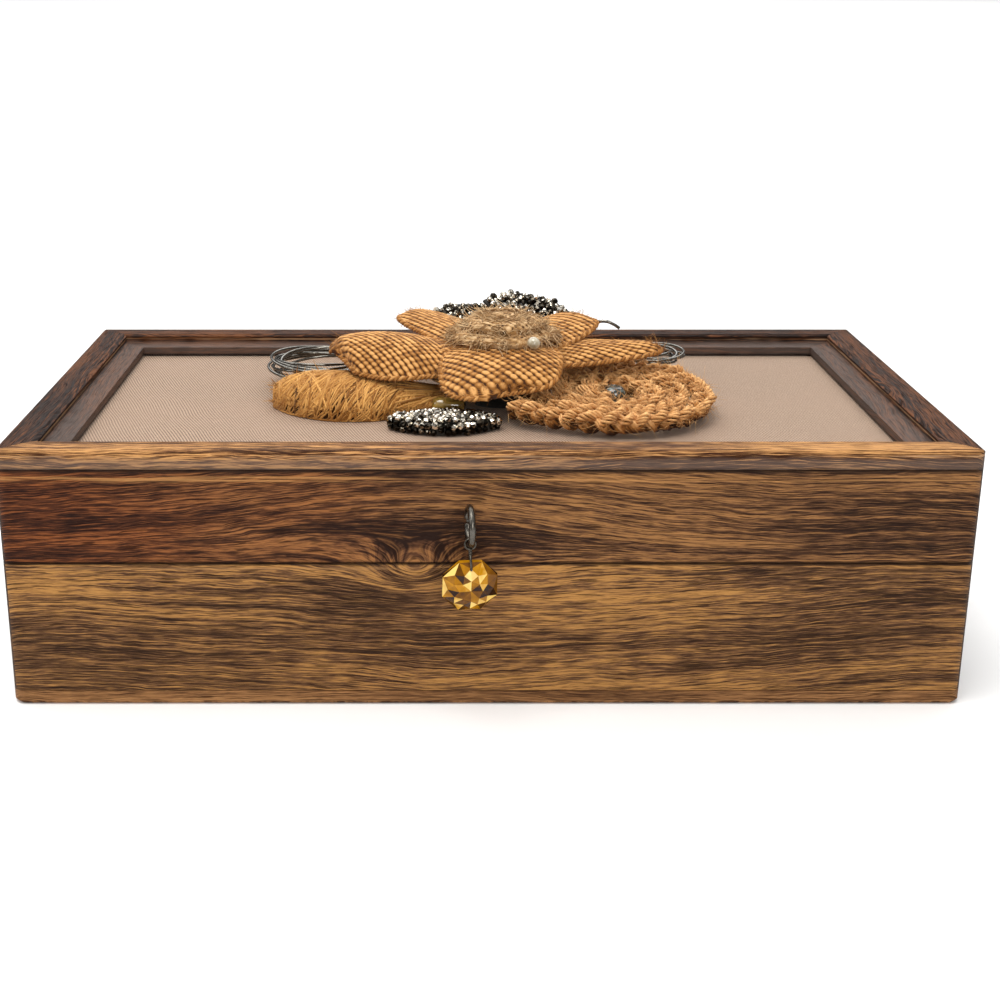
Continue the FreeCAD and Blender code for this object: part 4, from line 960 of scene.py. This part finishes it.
def pad_fibres():
    # Short thick ends curl out of the tip
    count = 170
    starts = pad_point(random.uniform(0.72, 1.0, count), random.uniform(-1.1, 1.1, count))
    curls = curled_fibres(starts, random.normal(0, 1.0, (count, 3)) + [-0.5, -0.3, 0.0],
                          random.uniform(1.2, 2.6, count), 0.26, 0.4)
    make_piece("jute_leaf_curls", *curls, golden_jute, slot="burlap", tone=random.rand(count),
               depth=random.uniform(0.4, 1.0, count))
    count = 420
    share, t = random.uniform(0, 1, count), random.uniform(-1, 1, count)
    rim = random.rand(count) < 0.5
    t[rim] = random.choice([-1, 1], rim.sum())
    end = random.rand(count) < 0.25
    share[end] = random.choice([0.0, 1.0], end.sum(), p=[0.25, 0.75])
    out = np.stack([-(share - 0.5) * 1.2, -t * 0.9, 0.5 + 0 * t], -1)
    fibres = curled_fibres(pad_point(share, t), out + random.normal(0, 0.5, (count, 3)),
                           random.uniform(0.8, 3.2, count), 0.08)
    make_piece("jute_leaf_fibres", *fibres, golden_jute, slot="burlap", depth=0.8, tone=random.rand(count))


pad_body()
pad_strands()
pad_fibres()

# %% [markdown]
# The rosette is one plait of three strands wound flat into a spiral, its end led off to the left. Each
# strand swings from side to side and up and down, a third of a turn behind the next, which is what a
# plait is. A strand is itself a bundle of twisted yarns. All of them follow the same spiral line.

# %% Jute rosette
ROSETTE_MIDDLE = np.array([38.0, -12.0, LINEN_TOP + 4.3])
FIRST_RADIUS, SPIRAL_PITCH, HALF_TURNS, END_ANGLE, TAIL, SPACING = 7.7, 7.25, 6, -104.0, 25.0, 0.5
PLAIT_PITCH, TWIST_PITCH, YARNS = 13.0, 9.0, 8


def spiral_line():
    """A clockwise line of half circles about two alternating centres, opening by one pitch a turn, and
    its straight tail."""
    angle = math.radians(END_ANGLE) + math.pi * HALF_TURNS
    middle, points = ROSETTE_MIDDLE, []
    for index in range(HALF_TURNS):
        radius = FIRST_RADIUS + SPIRAL_PITCH / 2 * index
        steps = max(8, int(math.pi * radius / SPACING))
        points += [middle + circle(radius, angle - math.pi * step / steps) for step in range(steps)]
        angle -= math.pi
        middle = middle - circle(SPIRAL_PITCH / 2, angle)
    end, way = middle + circle(radius + SPIRAL_PITCH / 2, angle), circle(1, angle - math.pi / 2)
    points += [end + way * step * SPACING for step in range(int(TAIL / SPACING) + 1)]
    return np.array(points)


def make_rosette():
    line, run = even_line(spiral_line(), SPACING)
    # The free end bends back a little and lifts off the cloth
    free = np.clip((run - run[-1] + 24.0) / 24.0, 0, 1)[:, None]
    line = line + np.array([0.5, 6.0, 0.8]) * free ** 2
    # Its back half rests on the petals' stub, so it leans a little towards the front
    line[:, 2] += 0.09 * np.clip(line[:, 1] + 20, 0, None)
    ahead = unit(np.gradient(line, axis=0))
    aside = np.cross(UP, ahead)
    yarns, radii, tones, painted_shades = [], [], [], []
    for strand in range(3):
        phase = (2 * np.pi * (run / PLAIT_PITCH + strand / 3) + 0.5 * np.sin(run / 7.7)
                 + 0.35 * np.sin(run / 3.3 + strand))
        slack = 0.3 * np.sin(run / 5.3 + strand * 2) + 0.25 * np.sin(run / 2.9 + strand * 5)
        across = 1.3 * np.sin(2 * phase) + 0.8 * np.sin(phase) + slack
        up = 1.5 * np.cos(phase) + 0.5 * np.sin(2 * phase) + 0.9 * slack
        for yarn in range(YARNS):
            twist = 2 * np.pi * (run / TWIST_PITCH + yarn / YARNS) + strand
            spread = 1.2 + 0.28 * np.sin(run / 3.1 + yarn * 1.7 + strand)
            yarns.append(line + aside * (across + np.cos(twist) * spread)[:, None]
                         + UP * (up + np.sin(twist) * spread)[:, None])
            radii.append(0.38 + 0.07 * np.sin(run / 3.1 + yarn * 2 + strand))
            tones.append(random.rand() + 0.25 * np.sin(run / 6 + yarn))
            # Yarns on the outer side of a strand and on top are painted lighter, those inside and below
            # darker: painted light and shade
            painted_light = 0.5 + 0.35 * np.sin(twist) + 0.2 * np.cos(twist) * np.sign(across) + up / 9
            painted_shades.append(0.12 + 0.75 * painted_light)
    make_piece("plaited_rosette", *tubes(yarns, radii), jute, nodes=["jute_rosette"], slot="jute",
               depth=painted_shades, tone=tones)
    count = 3000
    pick = random.randint(0, len(line), count)
    angle = random.uniform(-0.6, np.pi + 0.6, count)
    sideways, upwards = aside[pick] * np.cos(angle)[:, None], UP * np.sin(angle)[:, None]
    starts = line[pick] + sideways * 2.6 + upwards * 3.3
    starts[:, 2] = np.maximum(starts[:, 2], LINEN_TOP + 0.5)
    ways = (sideways + upwards) * 0.6 + ahead[pick] * random.choice([-1, 1], count)[:, None]
    ways = ways + random.normal(0, 0.3, (count, 3))
    fibres = curled_fibres(starts, ways, random.uniform(1.0, 3.6, count), 0.08)
    make_piece("rosette_fibres", *fibres, jute, slot="jute", depth=0.85, tone=random.rand(count))
    print("plait of", round(run[-1]), "mm")


make_rosette()

# %% [markdown]
# Beads. The rosette has a grey-green glass bead in its middle, an amber glass bead lies in front of the
# flower and a pearl is sewn to its frayed middle. Each is a body of revolution with its bore, because a
# threaded bead is never a plain ball.


# %% Turned beads
def turned_bead(radius, height, bore, power, centre, axis, around=40):
    """A drilled bead: half its section runs round the outside and back through the bore."""
    section = [(bore + (radius - bore) * max(0.0, 1 - abs(t) ** power) ** (1 / power), height / 2 * t)
               for t in np.linspace(-1, 1, 20)]
    section += [(bore, height * 0.45), (bore, -height * 0.45), section[0]]
    axis = unit(np.asarray(axis, float))
    side = unit(np.cross(axis, [0.3, 0.2, 0.9] if abs(axis[2]) < 0.9 else [1.0, 0, 0]))
    angles = full_turn(around)
    ring = np.cos(angles)[:, None] * side + np.sin(angles)[:, None] * np.cross(axis, side)
    return loft([centre + ring * reach + axis * level for reach, level in section], closed_ends=False)


# Piece, finish, node, then radius, height, bore, roundness, middle and axis, and how the finish looks
BEADS = (
    ("sewn_pearl", "pearl", "centre_pearl",
     (1.9, 3.4, 0.3, 2.0, FLOWER + heading(297)[0] * 18.0 + UP * 21.1, (0.5, 0.2, 0.8)),
     ((0.3, "8f8268"), (0.7, "c6bda6")), 0.6, 2,
     dict(Roughness=0.18, Coat_Weight=0.8, Coat_Roughness=0.05)),
    ("rosette_glass_bead", "grey_glass", "rosette_bead", (3.6, 6.4, 0.6, 2.4, ROSETTE_MIDDLE, UP, 48),
     ((0.35, "171c19"), (0.55, "37413b"), (0.8, "7f8c84")), (0.5, 0.5, 1.2), 3,
     dict(Roughness=0.12, Coat_Weight=1.0, Coat_Roughness=0.03)),
    ("amber_glass_bead", "amber_glass", "amber_bead",
     (2.6, 9.6, 0.5, 2.6, FLOWER + [-16.0, -16.0, 2.9], (1, 0, 0)),
     ((0.3, "6b4f1c"), (0.7, "c7a352")), (0.3, 0.8, 0.8), 3,
     dict(Roughness=0.15, Coat_Weight=1.0, Coat_Roughness=0.04, Transmission_Weight=0.25, IOR=1.54)))
for name, finish, node, bead, stops, scale, detail, settings in BEADS:
    glass = speckled(finish, stops, scale, detail, **settings)[0]
    make_piece(name, *turned_bead(*bead), glass, nodes=[node], slot=finish)

# %% [markdown]
# The three beaded leaves are a dark backing covered with small faceted silver beads, sewn so close that
# they touch. Every bead is a cut crystal with flat faces, turned at random. Each facet gets a random tone,
# so a few are painted white as glints and the rest painted dark as dim reflections, as in the
# photograph. Beads low on the rim and on the tilted leaves at the back are painted darker, as shade.


# %% Beaded leaves
def cut_bead(radius):
    """Points and triangles of a small bead with a belt of facets and pointed caps."""
    points, faces, rows = [], [], ((0.35, -0.95), (0.86, -0.5), (1.0, 0.0), (0.86, 0.5), (0.35, 0.95))
    for index, (reach, level) in enumerate(rows):
        for k in range(6):
            a = (k + 0.5 * (index % 2)) * np.pi / 3
            out = radius * reach
            points.append((out * math.cos(a), out * math.sin(a), radius * level * 0.9))
    for ring in range(len(rows) - 1):
        for k in range(6):
            a, b = ring * 6 + k, ring * 6 + (k + 1) % 6
            c, d = a + 6, b + 6
            faces += [(a, b, d), (a, d, c)] if ring % 2 else [(a, b, c), (b, d, c)]
    low, high = len(points), len(points) + 1
    points += [(0, 0, -radius * 0.86), (0, 0, radius * 0.86)]
    faces += [(low, (k + 1) % 6, k) for k in range(6)]
    faces += [(high, 24 + k, 24 + (k + 1) % 6) for k in range(6)]
    return np.array(points), np.array(faces)


def random_turns(count):
    """Random rotation matrices."""
    w, x, y, z = unit(random.normal(0, 1, (count, 4))).T
    return np.stack([np.stack([1 - 2 * (y * y + z * z), 2 * (x * y - z * w), 2 * (x * z + y * w)], -1),
                     np.stack([2 * (x * y + z * w), 1 - 2 * (x * x + z * z), 2 * (y * z - x * w)], -1),
                     np.stack([2 * (x * z - y * w), 2 * (y * z + x * w), 1 - 2 * (x * x + y * y)], -1)], -2)


def silver_material():
    material = new_material("silver_bead", Metallic=1.0)
    # The tone paints each facet's reflection, from near black for dim ones to white for glints
    stops = ((0.3, "1c1813"), (0.55, "8b8273"), (0.8, "fff8ea"))
    paint(material, Base_Color=ramp(kept_value(material, "tone"), stops),
          Roughness=band(noise(place_mm(material), 3.0), 0.3, 0.8, 0.08, 0.3))
    return material


# Place from the flower's foot, thickness, then tilt and lean in degrees; the flat one has a beaded rim
BEAD_LEAVES = {
    "bead_leaf_front": ((-17.36, -31.62, 0.3), 2.4, 0, 0),
    "bead_leaf_back_right": ((10.23, 35.34, 19.404), 0.8, 34, 12),
    "bead_leaf_back_left": ((-9.92, 42.78, 14.896), 0.8, 34, 0),
}
LEAF_HALF_LENGTH, LEAF_HALF_WIDTH, BEAD_PITCH, BEAD_RADIUS = 15.5, 7.0, 1.95, 1.12


def bead_spots(thick, tilt):
    """Where the beads sit on a leaf, and how much darker each is painted than the ones on top, as shade."""
    spots, dark = [], []
    for row in range(-4, 5):
        y = row * BEAD_PITCH * 0.87
        for column in range(-9, 10):
            x = (column + 0.5 * (row % 2)) * BEAD_PITCH
            taper = 1 - (x / LEAF_HALF_LENGTH) ** 2
            edge = LEAF_HALF_WIDTH * taper
            if abs(y) < edge - 0.3:
                crown = (0.2 if tilt else 1.1) * (1 - (y / max(edge, 0.5)) ** 2) * taper
                spots.append((x, y, thick + BEAD_RADIUS * 0.75 + crown))
                dark.append(0.0)
    # The outermost beads hang over the rim and hide the backing's edge
    for level in () if tilt else np.arange(thick + 0.2, 0.7, -1.5):
        for x in np.arange(-LEAF_HALF_LENGTH + 0.6, LEAF_HALF_LENGTH, BEAD_PITCH * 0.9):
            edge = LEAF_HALF_WIDTH * (1 - (x / LEAF_HALF_LENGTH) ** 2) + 0.35
            spots += [(x, -edge, level), (x, edge, level)]
            # Rim beads are painted darker as shade, the lower ones most
            dark += [0.45 if level < thick else 0.2] * 2
    return np.array(spots), np.array(dark)


def make_bead_leaf(name, place, thick, tilt, lean):
    spots, dark = bead_spots(thick, tilt)
    count = len(spots)
    spots = spots + random.normal(0, 0.16, (count, 3))
    points, faces = cut_bead(BEAD_RADIUS)
    turns = random_turns(count)
    sizes = random.uniform(0.8, 1.1, count)[:, None, None]
    cloud = np.einsum("nij,pj->npi", turns, points) * sizes + spots[:, None]
    pose = Matrix.Rotation(math.radians(lean), 3, "Y") @ Matrix.Rotation(math.radians(tilt), 3, "X")
    cloud = cloud.reshape(-1, 3) @ np.array(pose).T + FLOWER + np.array(place)
    all_faces = (faces[None] + (np.arange(count) * len(points))[:, None, None]).reshape(-1, 3)
    # Beads on the tilted leaves at the back are painted darker as shade; each facet's random tone paints a
    # glint or a dim reflection
    tone = random.rand(count) * 0.6 + (0.15 if tilt else 0.3) - dark
    tone = tone[:, None] + random.uniform(-0.3, 0.3, (count, len(faces)))
    make_piece(name + "_cut_beads", cloud, [all_faces], silver_beads, nodes=[name + "_beads"],
               slot="silver_bead", smooth=False, tone=tone)
    dress(name + "_backing", backing)
    print(name, count, "beads")


silver_beads = silver_material()
backing = speckled("dark_backing", ((0.3, "0f0d0a"), (0.7, "2e2a22")), 1.5, 3, Roughness=0.7)[0]
for name, settings in BEAD_LEAVES.items():
    make_bead_leaf(name, *settings)

# %% [markdown]
# Loops of silver wire peep out at both sides, and one end curls up behind. They are smooth round tubes.
# Each turn of a spray drifts a little in size, place and height, as springy wire wound by hand does.


# %% Wire
def metal(name, low_tone, high_tone, roughness):
    material, mark = speckled(name, ((0.3, low_tone), (0.7, high_tone)), 1.5, 4, 0.7, Metallic=1.0)
    paint(material, Roughness=band(mark, 0.2, 0.8, roughness * 1.5, roughness * 0.7))
    bump(material, mark, 0.004, 0.4)
    return material


# The silver's base colour is darkened to paint the wire's dark reflections; the lamps still give its
# highlights
silver_wire = metal("silver_wire", "45423c", "918d85", 0.16)
# The wires start at the rim of the flower's stub
WIRE_ROOT = 8.6


def make_spray(name, outer, turns, reach, turn, height, depth, hand):
    """One wire wound many times round the same place, each turn a little off the last, and its tail."""
    along, across = heading(turn)
    middle = FLOWER + along * reach + UP * height
    angle = np.linspace(0, 2 * np.pi * turns, int(turns * 90))
    radius = outer * (0.86 + 0.14 * np.sin(angle * 0.37 + 1) * np.cos(angle * 0.11))
    level = depth * (0.55 * np.sin(angle * 0.21 + 0.5) + 0.45 * np.sin(angle * 1.13))
    shift = np.stack([1.0 * np.sin(angle * 0.31), 0.8 * np.cos(angle * 0.43), level], -1)
    loops = middle + shift + across * (-hand * radius * np.cos(angle))[:, None]
    loops = loops + along * (radius * np.sin(angle))[:, None]
    end, way = loops[-1], unit(loops[-1] - loops[-2])
    goal = FLOWER + along * WIRE_ROOT + UP * height
    t = np.linspace(0, 1, 40)[1:, None]
    tail = end * (1 - t) ** 2 + 2 * (end + way * 14) * t * (1 - t) + goal * t ** 2
    line, _ = even_line(np.concatenate([loops, tail]), 0.6)
    make_piece(name + "_loops", *tubes(line[None], 0.42, 10), silver_wire, nodes=[name], slot="silver_wire")


def make_wire_tail():
    along, across = heading(56)
    start = FLOWER + along * WIRE_ROOT + UP * 9.9
    # Out, aside and up, as shares of a petal's length and of its rise
    route = ((0, 0, 0), (0.3, -0.06, 0.05), (0.62, -0.13, 0.2), (0.665, -0.16, 0.7), (0.67, -0.21, 1.12),
             (0.69, -0.30, 1.25), (0.72, -0.35, 1.12), (0.75, -0.38, 0.94))
    corners = np.array([start + (along * out + across * aside) * PETAL_LENGTH + UP * PETAL_RISE * up
                        for out, aside, up in route])
    places, fine = np.linspace(0, 1, len(route)), np.linspace(0, 1, 120)
    line = np.stack([smooth_share(list(zip(places, column)), fine) for column in corners.T], -1)
    make_piece("wire_end", *tubes(line[None], 0.5, 10, (0.8, 0.5, 0.1)), silver_wire, nodes=["wire_tail"],
               slot="silver_wire")


make_spray("wire_spray_left", 15.6, 10.25, 58.5, 161, 7.0, 2.3, 1)
make_spray("wire_spray_right", 10.6, 5.25, 54.5, 31, 7.6, 1.4, -1)
make_wire_tail()

# %% [markdown]
# The pull is a cut amber crystal that hangs by a twisted wire from a screw eye in the lid. The eye is a
# ring of thick wire that does not quite close against its shank. It stands a little turned.


# %% Screw eye and link
def rotation(degrees, axis):
    return np.array(Matrix.Rotation(math.radians(degrees), 3, axis))


EYE_CENTRE, EYE_RADIUS, EYE_TURN = np.array([-5.0, -80.1, 53.3]), 4.7, rotation(6, "Z")
LINK_LEAN, CRYSTAL_LEAN = 5.27, 10
dark_steel = metal("dark_steel", "55524c", "66625c", 0.26)
dark_wire = metal("dark_wire", "2b2824", "6e6960", 0.3)


def make_eye():
    angles = np.radians(np.linspace(8, 350, 90))
    ring = np.stack([0 * angles, np.cos(angles), np.sin(angles)], -1) * EYE_RADIUS @ EYE_TURN.T + EYE_CENTRE
    run = np.linspace(0, 10, 61)
    shank = EYE_CENTRE + np.stack([0 * run, run + EYE_RADIUS - 0.6, 0 * run], -1)
    thread = 0.86 + 0.10 * np.clip((run - 3.2) / 0.5, 0, 1) * np.sin(run * 2 * np.pi / 0.9)
    parts = [tubes(ring[None], 0.9, 14, EYE_TURN[:, 0]), tubes(shank[None], thread[None], 16)]
    make_piece("ring_eye", *joined(parts), dark_steel, nodes=["screw_eye"], slot="dark_steel")


def make_link():
    wire, hole_level = 0.3, -10.5
    angles = full_turn(40)
    loop = np.stack([1.35 * np.cos(angles), 0 * angles, 1.35 * np.sin(angles) - EYE_RADIUS], -1)
    tilt = rotation(CRYSTAL_LEAN + LINK_LEAN, "X") @ np.array([0, -2.9, 0])
    corners = np.array([[0, 0, -7.0], [0, 0, hole_level] + tilt, [0, 0, hole_level] - tilt])
    edge = np.concatenate([np.linspace(corners[i - 1], corners[i], 30, endpoint=False) for i in (1, 2, 0)])
    for _ in range(30):
        edge = (np.roll(edge, 1, 0) + edge + np.roll(edge, -1, 0)) / 3
    level = np.linspace(-6.0, edge[:, 2].max() - 0.1, 40)
    strands = [circle(0.26, phase + (level + 6) * 5.0, level) for phase in (0, np.pi)]
    points, faces = joined([tubes(loop[None], wire, 8, (0, 1, 0), closed=True),
                            tubes(edge[None], wire, 8, (1, 0, 0), closed=True),
                            tubes(strands, wire * 0.9, 8, (1, 0, 0))])
    turn = EYE_TURN @ rotation(-LINK_LEAN, "X")
    make_piece("twisted_link", points @ turn.T + EYE_CENTRE, faces, dark_wire, body="link",
               nodes=["wire_link"], slot="silver_wire")


make_eye()
make_link()

# %% [markdown]
# The crystal is an octagon with a star of facets on each face. Flat shading keeps every facet crisp. In
# amber glass this deep each facet shows one tone, dark or bright, by what it bends into view, so each
# facet gets a tone of its own and only part of the light passes through.

# %% Crystal
CRYSTAL_HOLE, HOLE_HEIGHT, ACROSS_FLATS = np.array([-4.899, -81.058, 42.844]), 5.55, 14.1


def make_crystal():
    material = new_material("amber_crystal", Roughness=0.04, Transmission_Weight=0.15, IOR=1.55,
                            Specular_IOR_Level=0.15)
    level = kept_value(material, "tone") + (noise(place_mm(material), 0.35) - 0.5) * 0.6
    stops = ((0.1, "2b1403"), (0.42, "7d4d06"), (0.7, "c88a10"), (0.98, "ffd877"))
    paint(material, Base_Color=ramp(level, stops))
    girdle = ACROSS_FLATS / 2 / math.cos(math.pi / 8)
    rows = ((3.0, 3.4, 0.0), (4.6, 2.8, 0.5), (5.9, 1.9, 0.0), (girdle, 0.6, 0.5))
    points, faces = [], []
    for side in (-1, 1):
        start = len(points)
        points.append((0.0, side * 3.15, 0.0))
        for radius, depth, half_step in rows:
            for a in (np.arange(8) + half_step) * math.pi / 4:
                points.append((radius * math.cos(a), side * depth, radius * math.sin(a)))
        star, kite, belt, rim = (start + 1 + 8 * i for i in range(4))
        for k in range(8):
            n, b = (k + 1) % 8, (k - 1) % 8
            some = [(start, star + k, star + n), (star + k, kite + k, star + n),
                    (star + k, kite + b, belt + k), (star + k, belt + k, kite + k),
                    (kite + b, rim + b, belt + k), (belt + k, rim + k, kite + k),
                    (belt + k, rim + b, rim + k)]
            faces += some if side < 0 else [face[::-1] for face in some]
    front, back = 25, 58
    for k in range(8):
        n = (k + 1) % 8
        faces += [(back + n, front + n, front + k), (back + k, back + n, front + k)]
    turn = EYE_TURN @ rotation(CRYSTAL_LEAN, "X")
    points = (np.array(points) - [0, 0, HOLE_HEIGHT]) @ turn.T + CRYSTAL_HOLE
    make_piece("cut_crystal", points, [np.array(faces)], material, body="crystal", nodes=["crystal_drop"],
               slot="amber_crystal", smooth=False, tone=random.rand(len(faces)))


make_crystal()

# %% [markdown]
# The hinges are small brass butts let into the back boards, with steel pins and screws.

# %% Hinges
brass = metal("hinge_brass", "8a6a2c", "cda75a", 0.3)
steel = metal("hinge_steel", "77746e", "b8b5ae", 0.3)
for side in ("left", "right"):
    dress("hinge_%s_base_leaf" % side, brass)
    dress("hinge_%s_lid_leaf" % side, brass)
    dress("hinge_%s_pin" % side, steel)
for part in ("hinge_base_screws", "hinge_lid_screws"):
    dress(part, steel)
